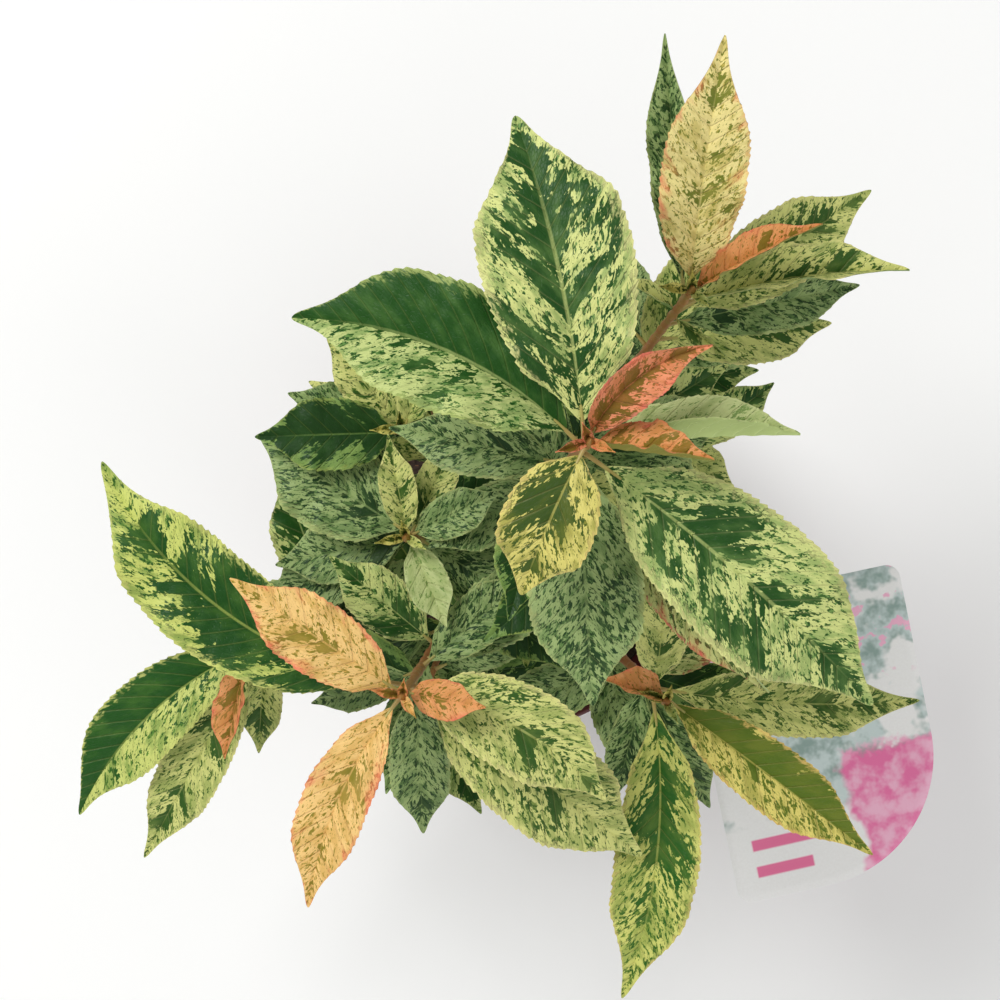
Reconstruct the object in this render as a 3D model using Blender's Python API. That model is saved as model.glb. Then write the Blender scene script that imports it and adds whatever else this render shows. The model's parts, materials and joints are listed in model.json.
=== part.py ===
"""Potted Chinese photinia: a young variegated evergreen shrub in a three litre nursery pot.

Metres, +Z up. The origin is the centre of the pot's flat underside. The plant is a short
trunk that forks into seven boughs, and each bough carries one leafy shoot: a tapering stem
with alternate leaves, and here and there a side twig with its own, all fused into one closed
body. The leaves near the top of a shoot are set one by one; the lower ones follow a seeded
spiral. A plain card label leans out over the rim on a strap pushed into the compost.
"""
import math
import random

import bmesh
import bpy
import numpy as np
from mathutils.bvhtree import BVHTree

MM = 0.001
GAP = 0.3 * MM

# The pot: a tapered shell with a step, a rolled rim and drainage holes in its floor.
POT_HEIGHT = 150 * MM
POT_FOOT_RADIUS = 68 * MM
POT_RIM_RADIUS = 95 * MM
POT_WALL = 1.8 * MM
POT_FLOOR = 2.2 * MM
RIM_DEPTH = 12 * MM
RIM_REACH = 3.2 * MM
STEP_HEIGHT = 118 * MM
STEP_REACH = 1.6 * MM
STEP_RAMP = 2 * MM
HOLE_COUNT = 6
HOLE_RADIUS = 6 * MM
HOLE_CIRCLE = 50 * MM
HOLE_SIDES = 10
POT_SIDES = 44

# The compost lies below the rim and rises a little to a flat pad under the trunk.
SOIL_TOP = 137 * MM
SOIL_EDGE_DROP = 2.5 * MM
TRUNK_PAD_RADIUS = 16 * MM

# The trunk stands on the compost and leans a little towards the leader.
TRUNK_FLARE_RADIUS = 10.5 * MM
TRUNK_FLARE_SHARE = 0.09
TRUNK_RADIUS = 6.2 * MM
TRUNK_TIP_RADIUS = 5.2 * MM
TRUNK_TOP = (5 * MM, 6 * MM, 198 * MM)
TRUNK_BOW = (-1.5 * MM, -1.5 * MM, 0)
TRUNK_SIDES = 12

# Boughs and the shoots that carry on from them share one radius where they meet.
BOUGH_ROOT_RADIUS = 3.7 * MM
BOUGH_TIP_RADIUS = 2.8 * MM
BOUGH_SIDES = 8
SHOOT_TIP_RADIUS = 1.3 * MM
SHOOT_SIDES = 7
BUD_LENGTH = 6 * MM
TWIG_ROOT_RADIUS = 1.5 * MM
TWIG_TIP_RADIUS = 0.9 * MM
TWIG_SIDES = 5
LIMB_POINTS = 9

# A leaf: its stalk's share of the length, its thickness and its stations along the blade.
STALK_SHARE = 0.13
STALK_RADIUS = 0.95 * MM
LEAF_THICKNESS = 0.0125
LEAF_THINNEST = 1.0 * MM
BLADE_STATIONS = (0.0, 0.08, 0.22, 0.4, 0.58, 0.74, 0.87, 0.95, 1.0)
LOWER_STATIONS = (0.0, 0.15, 0.4, 0.65, 0.88, 1.0)
WIDEST_AT = 0.5
FLANK_POWER = 0.62
TIP_PINCH = 0.48
SPINE_SAMPLES = 49
GOLDEN_ANGLE = 137.5

# The card label slopes down and outwards from the rim; its strap hooks over the rim.
LABEL_WIDTH = 107 * MM
LABEL_HEIGHT = 145 * MM
LABEL_THICKNESS = 1.0 * MM
LABEL_CORNER = (85 * MM, -36 * MM, 155 * MM)
LABEL_TURN = 12
LABEL_SLOPE = 7
LABEL_SLOPE_HEADING = -35
LABEL_SMALL_ROUND = 7 * MM
LABEL_LARGE_ROUND = 62 * MM
STRAP_WIDTH = 12 * MM
STRAP_HEADING = -27
STRAP_FOOT_RADIUS = 80 * MM
STRAP_BURIED = 14 * MM
STRAP_BEND = 8 * MM
STRAP_CREST = 0.6 * MM
STRAP_LAP = 22 * MM

# Each shoot: the height of its bough's root on the trunk, the bough's end and the shoot's tip
# in mm, the count, first heading and seed of its spiral leaves, and its side twigs as place
# along the shoot, heading and length in mm.
# Each leaf row: place along the shoot (0 foot, 1 tip), heading, length with its stalk and
# width in mm, rise at its root, arch down to its tip, sideways swing, roll, fold of the halves
# (angles in degrees, headings from +X towards +Y).
SHOOTS = {
    "leader": {
        "root": 198, "foot": (10, 12, 236), "tip": (32, 37, 495), "spiral": (12, 100, 8),
        "twigs": ((0.24, 95, 52), (0.4, 300, 46)),
        "leaves": (
            (0.99, 40, 70, 22, 52, 30, -60, 20, 35),
            (0.985, -8, 49, 24, 30, 10, 0, -42, 56),
            (0.965, -113, 64, 37, 8, 45, 10, 0, 12),
            (0.955, 3, 79, 32, 24, 20, -8, -55, 62),
            (0.94, 102, 125, 59, 20, 35, 14, 0, 12),
            (0.915, 156, 123, 54, 18, 38, 46, 8, 24),
            (0.88, -41, 150, 56, 12, 36, -12, 0, 12),
            (0.83, -86, 101, 46, 0, 28, 0, 0, 10),
            (0.78, -50, 124, 26, -2, 22, 8, 48, 40),
            (0.74, 75, 76, 24, 6, 22, 0, 10, 14),
            (0.68, 18, 70, 30, 10, 22, 0, 0, 14),
        ),
    },
    "back_right": {
        "root": 175, "foot": (27, 31, 222), "tip": (73, 96, 425), "spiral": (8, 250, 2),
        "twigs": ((0.3, 330, 44),),
        "leaves": (
            (0.99, 85, 117, 34, 52, 20, -6, 0, 14),
            (0.95, 96, 107, 22, 36, 22, -2, -18, 34),
            (0.98, 27, 70, 20, 58, 34, -14, -35, 50),
            (0.93, 8, 90, 28, 24, 24, -18, -34, 46),
            (0.87, 32, 92, 33, 14, 22, 6, 0, 14),
            (0.81, 12, 82, 26, 2, 20, 0, 6, 14),
            (0.73, 6, 77, 28, -4, 20, 6, 0, 12),
            (0.60, 17, 74, 28, -8, 20, 8, 0, 12),
            (0.90, 150, 24, 10, 10, 20, 0, 40, 40),
            (0.86, -38, 27, 10, 20, 20, 0, 30, 40),
        ),
    },
    "front": {
        "root": 167, "foot": (-13, -26, 216), "tip": (-38, -60, 405), "spiral": (8, 150, 53),
        "twigs": ((0.3, 250, 40),),
        "leaves": (
            (0.99, 145, 84, 31, 28, 22, 0, 0, 16),
            (0.98, -114, 95, 30, 14, 32, 32, 8, 22),
            (0.97, -8, 40, 17, 44, 14, 0, 0, 10),
            (0.95, -30, 96, 38, 12, 40, -44, 0, 14),
            (0.89, -38, 127, 46, -4, 28, -4, 0, 12),
            (0.82, -88, 78, 27, -22, 14, 0, 0, 12),
            (0.91, 144, 159, 46, 8, 22, -56, 0, 20),
            (0.78, 198, 54, 18, -18, 20, 0, 0, 12),
            (0.74, 40, 62, 24, 0, 20, 0, 0, 12),
        ),
    },
    "front_left": {
        "root": 151, "foot": (-44, -19, 198), "tip": (-108, -48, 305), "spiral": (6, 50, 51),
        "twigs": (),
        "leaves": (
            (0.99, -101, 47, 20, 18, 20, 0, 30, 40),
            (0.94, -136, 112, 37, 4, 28, 42, 0, 18),
            (0.91, -119, 113, 30, -2, 26, -2, 0, 18),
            (0.86, -96, 58, 20, -18, 20, 0, 0, 14),
            (0.80, 150, 52, 18, 4, 18, 0, 0, 16),
        ),
    },
    "front_right": {
        "root": 159, "foot": (27, -28, 206), "tip": (67, -65, 360), "spiral": (7, 240, 48),
        "twigs": (),
        "leaves": (
            (0.985, 160, 36, 22, 50, 22, 0, 35, 52),
            (0.86, -95, 136, 38, 4, 22, -30, 0, 16),
            (0.93, -37, 110, 31, 14, 22, -2, 0, 20),
            (0.88, -3, 113, 30, 6, 22, 14, 0, 16),
            (0.90, 86, 64, 24, 44, 18, 0, 0, 18),
            (0.80, -102, 56, 20, -14, 18, 0, 0, 12),
            (0.76, -62, 72, 24, -12, 20, 0, 0, 14),
            (0.82, 40, 56, 24, 4, 20, 0, 0, 14),
        ),
    },
    "left": {
        "root": 191, "foot": (-23, 2, 226), "tip": (-38, 1, 352), "spiral": (8, 290, 31),
        "twigs": (),
        "leaves": (
            (0.98, 100, 47, 17, 34, 14, 0, 0, 20),
            (0.965, 26, 46, 20, 32, 18, 0, 0, 14),
            (0.94, -67, 42, 20, 26, 14, 0, 0, 22),
            (0.92, 64, 46, 18, 22, 16, 0, 0, 16),
            (0.86, 147, 76, 43, 10, 24, 0, 0, 10),
            (0.78, -168, 64, 28, -6, 18, 0, 0, 12),
            (0.83, -31, 62, 30, 10, 22, 0, 0, 12),
            (0.74, -42, 86, 30, 4, 20, 0, 0, 12),
            (0.80, 36, 62, 28, 6, 20, 0, 0, 12),
        ),
    },
    "back_left": {
        "root": 183, "foot": (-14, 20, 206), "tip": (-40, 45, 345), "spiral": (8, 230, 34),
        "twigs": ((0.36, 100, 40),),
        "leaves": (
            (0.98, 70, 44, 18, 30, 20, 0, 0, 20),
            (0.95, -178, 63, 32, 24, 28, 0, 0, 12),
            (0.91, 130, 54, 22, 30, 22, 0, 0, 14),
            (0.84, 160, 56, 26, 18, 24, 0, 0, 12),
            (0.78, 20, 62, 28, 14, 22, 0, 0, 12),
            (0.74, -40, 60, 26, 8, 22, 0, 0, 12),
        ),
    },
}
SPIRAL_SPAN = (0.12, 0.68)
SPIRAL_LENGTH = (58, 84)
SPIRAL_WIDTH_SHARE = (0.36, 0.46)
SPIRAL_RISE = (0, 38)
SPIRAL_ARCH = (24, 46)
SIDE_STEP = 31
SIDE_TRIES = 5
TWIG_LEAVES = 4
TWIG_LEAF_LENGTH = (44, 62)


def material(name, colour, roughness):
    """A plain Principled finish."""
    mat = bpy.data.materials.new(name)
    mat.use_nodes = True
    shader = mat.node_tree.nodes["Principled BSDF"]
    shader.inputs["Base Color"].default_value = (*colour, 1.0)
    shader.inputs["Roughness"].default_value = roughness
    shader.inputs["Metallic"].default_value = 0.0
    mat.diffuse_color = (*colour, 1.0)
    return mat


def solid(name, points, faces, mat, smooth=40):
    """One object from points and faces, shaded smooth up to an angle in degrees."""
    mesh = bpy.data.meshes.new(name)
    mesh.from_pydata([tuple(p) for p in points], [], faces)
    mesh.materials.append(mat)
    mesh.shade_smooth()
    mesh.set_sharp_from_angle(angle=math.radians(smooth))
    obj = bpy.data.objects.new(name, mesh)
    bpy.context.scene.collection.objects.link(obj)
    return obj


def loft(rings, apex=None):
    """Points and faces of a body through equal rings, with flat ends or a pointed far end."""
    count, sides = rings.shape[:2]
    points = list(rings.reshape(-1, 3))
    faces = []
    for i in range(count - 1):
        for j in range(sides):
            k = (j + 1) % sides
            faces.append((i * sides + j, i * sides + k, (i + 1) * sides + k, (i + 1) * sides + j))
    faces.append(tuple(range(sides))[::-1])
    last = (count - 1) * sides
    if apex is None:
        faces.append(tuple(last + j for j in range(sides)))
    else:
        points.append(apex)
        faces += [(last + j, last + (j + 1) % sides, len(points) - 1) for j in range(sides)]
    return points, faces


def unit(vector):
    vector = np.asarray(vector, float)
    return vector / np.linalg.norm(vector)


def tube_rings(path, radii, sides):
    """Rings of a round limb: each radius turned about its point, square to the path."""
    path = np.asarray(path, float)
    tangents = np.gradient(path, axis=0)
    tangents /= np.linalg.norm(tangents, axis=1)[:, None]
    ups = [unit(np.cross(tangents[0], (0.31, 0.95, 0.05)))]
    for tangent in tangents[1:]:
        ups.append(unit(ups[-1] - tangent * np.dot(ups[-1], tangent)))
    ups = np.array(ups)
    sideways = np.cross(tangents, ups)
    turn = np.arange(sides) * 2 * math.pi / sides
    circle = np.cos(turn)[None, :, None] * ups[:, None] + np.sin(turn)[None, :, None] * sideways[:, None]
    return path[:, None] + circle * np.asarray(radii)[:, None, None]


def bend(start, control, end):
    """Points of a quadratic curve from start to end, pulled towards control."""
    s = np.linspace(0, 1, LIMB_POINTS)[:, None]
    start, control, end = (np.asarray(p, float) for p in (start, control, end))
    return (1 - s) ** 2 * start + 2 * s * (1 - s) * control + s ** 2 * end


def along(path, share):
    """The point at a share of a path's points."""
    shares = np.linspace(0, 1, len(path))
    return np.array([np.interp(share, shares, path[:, i]) for i in range(3)])


def turned(profile, sides):
    """Points and faces of a closed profile of (radius, height) pairs turned about +Z.

    A pair whose radius is zero gives one point on the axis.
    """
    points = []
    rows = []
    for radius, height in profile:
        if radius == 0:
            rows.append([len(points)] * sides)
            points.append((0.0, 0.0, height))
            continue
        rows.append(list(range(len(points), len(points) + sides)))
        for j in range(sides):
            angle = 2 * math.pi * j / sides
            points.append((radius * math.cos(angle), radius * math.sin(angle), height))
    faces = []
    for low, high in zip(rows, rows[1:] + rows[:1]):
        for j in range(sides):
            k = (j + 1) % sides
            corners = list(dict.fromkeys((low[j], low[k], high[k], high[j])))
            if len(corners) > 2:
                faces.append(tuple(corners))
    return points, faces


def keep_largest(mesh):
    """Keep the biggest shell of a mesh, and say whether it is closed.

    Loose scraps go, and so does the inner skin of a hollow that fusing sealed, which fills it.
    """
    shape = bmesh.new()
    shape.from_mesh(mesh)
    unseen = set(shape.verts)
    groups = []
    while unseen:
        front = [unseen.pop()]
        group = list(front)
        while front:
            vert = front.pop()
            near = {edge.other_vert(vert) for edge in vert.link_edges} & unseen
            unseen -= near
            front += near
            group += near
        groups.append(group)
    groups.sort(key=len)
    for group in groups[:-1]:
        bmesh.ops.delete(shape, geom=group, context="VERTS")
    bmesh.ops.triangulate(shape, faces=shape.faces)
    closed = all(edge.is_manifold for edge in shape.edges)
    shape.to_mesh(mesh)
    shape.free()
    return closed


def boolean(obj, operation, tools):
    """Join or cut obj with a list of objects in one Boolean, apply it and remove the tools.

    The exact solver comes first, and the manifold solver where its result isn't closed.
    """
    group = bpy.data.collections.new("tools")
    for tool in tools:
        bpy.context.scene.collection.objects.unlink(tool)
        group.objects.link(tool)
    modifier = obj.modifiers.new("Join", "BOOLEAN")
    modifier.operation = operation
    modifier.operand_type = "COLLECTION"
    modifier.collection = group
    for solver in ("EXACT", "MANIFOLD"):
        modifier.solver = solver
        graph = bpy.context.evaluated_depsgraph_get()
        mesh = bpy.data.meshes.new_from_object(obj.evaluated_get(graph))
        if keep_largest(mesh):
            break
    obj.modifiers.clear()
    old = obj.data
    obj.data = mesh
    bpy.data.meshes.remove(old)
    mesh.name = obj.name
    for tool in tools:
        shape = tool.data
        bpy.data.objects.remove(tool)
        bpy.data.meshes.remove(shape)
    bpy.data.collections.remove(group)


def pot_wall(height):
    """The pot's outer radius at a height: an even taper with a step out near the top."""
    slope = (POT_RIM_RADIUS - RIM_REACH - POT_FOOT_RADIUS - STEP_REACH) / POT_HEIGHT
    return POT_FOOT_RADIUS + slope * height + (STEP_REACH if height > STEP_HEIGHT else 0)


def build_pot(mat):
    """The shell's outer line from the floor up, over the rolled rim and down its inside."""
    rim_low = POT_HEIGHT - RIM_DEPTH
    over_step = STEP_HEIGHT + STEP_RAMP
    inside = [(pot_wall(z) - POT_WALL, z) for z in (over_step, STEP_HEIGHT, POT_FLOOR + 1.5 * MM)]
    profile = [
        (0, 0), (POT_FOOT_RADIUS - 1.5 * MM, 0), (pot_wall(1.5 * MM), 1.5 * MM),
        (pot_wall(STEP_HEIGHT), STEP_HEIGHT), (pot_wall(over_step), over_step),
        (pot_wall(rim_low), rim_low), (POT_RIM_RADIUS - 0.8 * MM, rim_low + 0.6 * MM),
        (POT_RIM_RADIUS, POT_HEIGHT - 2 * MM), (POT_RIM_RADIUS - 1.2 * MM, POT_HEIGHT - 0.4 * MM),
        (POT_RIM_RADIUS - 2.6 * MM, POT_HEIGHT), (pot_wall(POT_HEIGHT) - POT_WALL, POT_HEIGHT - 1.2 * MM),
        *inside, (pot_wall(POT_FLOOR) - POT_WALL - 1.5 * MM, POT_FLOOR), (0, POT_FLOOR),
    ]
    pot = solid("pot", *turned(profile, POT_SIDES), mat)
    cutters = []
    drill = [(0, -POT_FLOOR), (HOLE_RADIUS, -POT_FLOOR), (HOLE_RADIUS, 2 * POT_FLOOR), (0, 2 * POT_FLOOR)]
    points, faces = turned(drill, HOLE_SIDES)
    for i in range(HOLE_COUNT):
        angle = 2 * math.pi * (i + 0.5) / HOLE_COUNT
        middle = (HOLE_CIRCLE * math.cos(angle), HOLE_CIRCLE * math.sin(angle), 0)
        cutters.append(solid("hole", np.array(points) + middle, faces, mat))
    boolean(pot, "DIFFERENCE", cutters)


def heading_vector(degrees):
    return np.array((math.cos(math.radians(degrees)), math.sin(math.radians(degrees)), 0))


def card_height(point):
    """The height of the card's middle plane above a point: an even slope from its corner."""
    run = np.dot((np.asarray(point) - LABEL_CORNER)[:2], heading_vector(LABEL_SLOPE_HEADING)[:2])
    return LABEL_CORNER[2] - run * math.tan(math.radians(LABEL_SLOPE))


def strap_path():
    """From under the compost straight up, over the rim in a quarter turn, and into the card."""
    out = heading_vector(STRAP_HEADING)
    rise = np.array((0, 0, 1))
    foot = out * STRAP_FOOT_RADIUS
    bend_start = foot + rise * (LABEL_CORNER[2] + STRAP_CREST - STRAP_BEND)
    s = np.radians(np.linspace(0, 90, 6))[:, None]
    curve = bend_start + STRAP_BEND * (out * (1 - np.cos(s)) + rise * np.sin(s))
    end = curve[-1] + out * STRAP_LAP
    end[2] = card_height(end)
    return np.vstack([foot + rise * (SOIL_TOP - STRAP_BURIED), curve, end])


def strap_rings(path, half_width, half_thickness):
    """Flat four-cornered rings along the strap's path."""
    side = np.cross((0, 0, 1), heading_vector(STRAP_HEADING))
    tangents = np.gradient(path, axis=0)
    tangents /= np.linalg.norm(tangents, axis=1)[:, None]
    lift = np.cross(tangents, side) * half_thickness
    reach = side * half_width
    return np.stack([path + reach - lift, path + reach + lift, path - reach + lift, path - reach - lift], 1)


def card_outline():
    """The card's edge from above: three small round corners and one large one, then its slope."""
    right = heading_vector(LABEL_TURN)
    down = heading_vector(LABEL_TURN - 90)
    corners = (
        (LABEL_SMALL_ROUND, 0, 0, 180), (LABEL_SMALL_ROUND, LABEL_WIDTH, 0, 270),
        (LABEL_LARGE_ROUND, LABEL_WIDTH, LABEL_HEIGHT, 0), (LABEL_SMALL_ROUND, 0, LABEL_HEIGHT, 90),
    )
    edge = []
    for radius, x, y, start in corners:
        middle_x = min(max(x, radius), LABEL_WIDTH - radius)
        middle_y = min(max(y, radius), LABEL_HEIGHT - radius)
        for angle in np.radians(np.linspace(start, start + 90, 10 if radius == LABEL_LARGE_ROUND else 4)):
            across = middle_x + radius * math.cos(angle)
            below = middle_y + radius * math.sin(angle)
            point = np.array((*LABEL_CORNER[:2], 0)) + right * across + down * below
            point[2] = card_height(point)
            edge.append(point)
    return np.array(edge[::-1])


def build_label(mat):
    """The card and the strap that holds it, as one body."""
    edge = card_outline()
    half = np.array((0, 0, LABEL_THICKNESS / 2))
    label = solid("label", *loft(np.stack([edge - half, edge + half])), mat)
    strap = strap_rings(strap_path(), STRAP_WIDTH / 2, LABEL_THICKNESS / 2)
    boolean(label, "UNION", [solid("strap", *loft(strap), mat)])


def build_compost(mat):
    """A plug that fills the pot 0.3 mm clear of it, with a flat pad and a slot for the strap."""
    inner = POT_WALL + GAP
    edge = SOIL_TOP - SOIL_EDGE_DROP
    over_step = STEP_HEIGHT + STEP_RAMP + 0.4 * MM
    profile = [
        (0, POT_FLOOR + GAP), (pot_wall(POT_FLOOR) - inner - 1.8 * MM, POT_FLOOR + GAP),
        (pot_wall(POT_FLOOR) - inner, POT_FLOOR + 2.1 * MM), (pot_wall(STEP_HEIGHT) - inner, STEP_HEIGHT),
        (pot_wall(over_step) - inner, over_step), (pot_wall(edge) - inner, edge),
        (pot_wall(edge) * 0.72, edge + 0.4 * MM), (pot_wall(edge) * 0.4, SOIL_TOP - 0.6 * MM),
        (TRUNK_PAD_RADIUS, SOIL_TOP), (0, SOIL_TOP),
    ]
    compost = solid("compost", *turned(profile, POT_SIDES), mat)
    path = strap_path()[:2].copy()
    path[0, 2] -= GAP
    slot = strap_rings(path, STRAP_WIDTH / 2 + GAP, LABEL_THICKNESS / 2 + GAP)
    boolean(compost, "DIFFERENCE", [solid("slot", *loft(slot), mat)])


def trunk_path():
    foot = np.array((0.0, 0.0, SOIL_TOP + GAP))
    top = np.array(TRUNK_TOP)
    return bend(foot, (foot + top) / 2 + TRUNK_BOW, top)


def build_trunk(mat, grow=0.0):
    """The trunk from its flat cut to its fork; grow gives the same shape larger all round."""
    path = trunk_path()
    share = np.linspace(0, 1, LIMB_POINTS)
    flare = (TRUNK_FLARE_RADIUS - TRUNK_RADIUS) * np.exp(-share / TRUNK_FLARE_SHARE)
    radii = TRUNK_RADIUS + (TRUNK_TIP_RADIUS - TRUNK_RADIUS) * share + flare + grow
    path[-1] += unit(path[-1] - path[-2]) * grow
    rings = tube_rings(path, radii, TRUNK_SIDES)
    rings[0, :, 2] = path[0, 2] - grow
    return solid("trunk", *loft(rings), mat)


def shoot_path(spec):
    """A shoot's stem from its bough's end to its tip, steeper as it goes."""
    foot = np.array(spec["foot"]) * MM
    tip = np.array(spec["tip"]) * MM
    return bend(foot, foot + (tip - foot) * (0.6, 0.6, 0.4), tip)


def bough_path(spec):
    """From inside the trunk out and up, ending 0.3 mm short of its shoot and in line with it."""
    trunk = trunk_path()
    root = [np.interp(spec["root"] * MM, trunk[:, 2], trunk[:, i]) for i in range(3)]
    shoot = shoot_path(spec)
    way = unit(shoot[1] - shoot[0])
    end = shoot[0] - way * GAP
    return bend(root, end - way * np.linalg.norm(end - root) * 0.45, end)


def build_boughs(mat):
    """Each bough is cut off 0.3 mm clear of the trunk's skin."""
    trees = []
    for name, spec in SHOOTS.items():
        rings = tube_rings(bough_path(spec), np.linspace(BOUGH_ROOT_RADIUS, BOUGH_TIP_RADIUS, LIMB_POINTS),
                           BOUGH_SIDES)
        bough = solid("bough_" + name, *loft(rings), mat)
        boolean(bough, "DIFFERENCE", [build_trunk(mat, GAP)])
        trees.append(search_tree(*loft(rings)))
    return trees


def search_tree(points, faces):
    """A search tree of one body's faces, for finding what it touches."""
    return BVHTree.FromPolygons([tuple(p) for p in points], faces)


def blade_share(s):
    """Half width of a blade, as a share of its widest: wedge base, full flanks, drawn-out tip."""
    s = np.clip(np.asarray(s, float), 0, 1)
    fall = FLANK_POWER * (1 - WIDEST_AT) / WIDEST_AT
    body = (s / WIDEST_AT) ** FLANK_POWER * ((1 - s) / (1 - WIDEST_AT)) ** fall
    return body * (1 - TIP_PINCH * np.exp(-((s - 0.93) / 0.06) ** 2))


def leaf_rings(root, row, stations):
    """Four-cornered rings along a leaf, left edge, top, right edge, underside, and its tip.

    The pitch falls evenly from rise to rise minus arch and the heading swings evenly through
    its middle value, so the spine is a gentle arc in plan and in height. The blade's halves
    are lifted from the spine by the fold, and the whole is turned about it by the roll.
    """
    _, heading, length, width, rise, arch, swing, roll, fold = row
    s = np.linspace(0, 1, SPINE_SAMPLES)
    pitch = np.radians(rise - arch * s)
    course = np.radians(heading + swing * (s - 0.5))
    way = np.stack([np.cos(pitch) * np.cos(course), np.cos(pitch) * np.sin(course), np.sin(pitch)], 1)
    step = (way[1:] + way[:-1]) / 2 * (length * MM / (SPINE_SAMPLES - 1))
    spine = np.vstack([np.zeros(3), np.cumsum(step, axis=0)]) + np.asarray(root)

    blade = np.array(stations)
    share = np.concatenate([[0.0, STALK_SHARE / 2], STALK_SHARE + (1 - STALK_SHARE) * blade])
    at = np.stack([np.interp(share, s, spine[:, i]) for i in range(3)], 1)
    ahead = np.stack([np.interp(share, s, way[:, i]) for i in range(3)], 1)
    turn = np.interp(share, s, course)
    side = np.stack([-np.sin(turn), np.cos(turn), np.zeros_like(turn)], 1)
    up = np.cross(ahead / np.linalg.norm(ahead, axis=1)[:, None], side)
    tilt = math.radians(roll)
    side, up = side * math.cos(tilt) + up * math.sin(tilt), up * math.cos(tilt) - side * math.sin(tilt)

    half = np.maximum(blade_share(blade) * width * MM / 2, STALK_RADIUS)
    half = np.concatenate([[STALK_RADIUS] * 2, half])[:, None]
    thick = max(LEAF_THICKNESS * length * MM, LEAF_THINNEST) / 2
    depth = np.concatenate([[STALK_RADIUS] * 2, thick * (1 - 0.45 * blade)])[:, None]
    lifted = (np.clip(share / STALK_SHARE - 0.5, 0, 1) * math.radians(fold))[:, None]
    across, lift = side * half * np.cos(lifted), up * half * np.sin(lifted)
    rings = np.stack([at + across + lift, at + up * depth, at - across + lift, at - up * depth], 1)
    return rings[:-1], at[-1]


def spiral_rows(count, heading, seed, span, lengths):
    """Rows for leaves in a golden-angle spiral up a stem, each a little different."""
    chance = random.Random(seed)
    rows = []
    for i in range(count):
        place = span[0] + (span[1] - span[0]) * i / max(count - 1, 1)
        length = chance.uniform(*lengths)
        rows.append((
            place, heading + GOLDEN_ANGLE * i + chance.uniform(-10, 10), length,
            length * chance.uniform(*SPIRAL_WIDTH_SHARE), chance.uniform(*SPIRAL_RISE),
            chance.uniform(*SPIRAL_ARCH), chance.uniform(-16, 16), chance.uniform(-12, 12),
            chance.uniform(8, 20),
        ))
    return rows


def twig_path(stem, place, heading, length):
    """A side twig: out from the stem, then curving upwards."""
    root = along(stem, place)
    out = heading_vector(heading) * length * MM
    rise = np.array((0, 0, length * MM))
    return bend(root, root + out * 0.5 + rise * 0.25, root + out * 0.75 + rise * 0.75)


def find_room(shoot, outer, whole, placed):
    """Whether a twig or leaf fits, and if it does, note it as placed.

    It may touch nothing of another shoot. On its own shoot only its outer part is tested, for
    its root sinks into the stem. Each placed entry is a shoot's name, an outer part and a whole.
    """
    for owner, other_outer, other_whole in placed:
        if outer.overlap(other_outer) if owner == shoot else whole.overlap(other_whole):
            return False
    placed.append((shoot, outer, whole))
    return True


def grow_leaf(shoot, stem, row, placed, stations=BLADE_STATIONS, tries=1):
    """A leaf's body if it touches nothing placed before, swung round the stem if need be."""
    root = along(stem, row[0])
    for i in range(tries):
        turned_row = (row[0], row[1] + SIDE_STEP * i, *row[2:])
        rings, tip = leaf_rings(root, turned_row, stations)
        leaf = loft(rings, tip)
        if find_room(shoot, search_tree(*loft(rings[3:], tip)), search_tree(*leaf), placed):
            return leaf
    return None


def grow_shoots(limbs):
    """Stems, twigs and leaves of every shoot, as bodies by shoot; what would touch is skipped."""
    placed = [("limbs", tree, tree) for tree in limbs]
    stems = {name: shoot_path(spec) for name, spec in SHOOTS.items()}
    grown = {name: [] for name in SHOOTS}
    for name, stem in stems.items():
        radii = np.linspace(BOUGH_TIP_RADIUS, SHOOT_TIP_RADIUS, LIMB_POINTS)
        bud = stem[-1] + unit(stem[-1] - stem[-2]) * BUD_LENGTH
        grown[name].append(loft(tube_rings(stem, radii, SHOOT_SIDES), bud))
        tree = search_tree(*grown[name][0])
        placed.append((name, tree, tree))
    for name, spec in SHOOTS.items():
        for row in spec["leaves"]:
            grown[name].append(grow_leaf(name, stems[name], row, placed))
    for name, spec in SHOOTS.items():
        for place, heading, length in spec["twigs"]:
            twig = twig_path(stems[name], place, heading, length)
            radii = np.linspace(TWIG_ROOT_RADIUS, TWIG_TIP_RADIUS, LIMB_POINTS)
            rings = tube_rings(twig, radii, TWIG_SIDES)
            body = loft(rings, twig[-1] + unit(twig[-1] - twig[-2]) * BUD_LENGTH / 2)
            if not find_room(name, search_tree(*loft(rings[3:])), search_tree(*body), placed):
                continue
            grown[name].append(body)
            for row in spiral_rows(TWIG_LEAVES, heading, length, (0.45, 0.95), TWIG_LEAF_LENGTH):
                grown[name].append(grow_leaf(name, twig, row, placed, LOWER_STATIONS, SIDE_TRIES))
    for name, spec in SHOOTS.items():
        for row in spiral_rows(*spec["spiral"], SPIRAL_SPAN, SPIRAL_LENGTH):
            grown[name].append(grow_leaf(name, stems[name], row, placed, LOWER_STATIONS, SIDE_TRIES))
    return {name: [body for body in bodies if body] for name, bodies in grown.items()}


def build_foliage(mat, limbs):
    """One mass for each shoot, its stem, twigs and leaves joined into one body."""
    for name, bodies in grow_shoots(limbs).items():
        mass = solid("foliage_" + name, *bodies[0], mat)
        boolean(mass, "UNION", [solid("leaf", *body, mat) for body in bodies[1:]])


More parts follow.
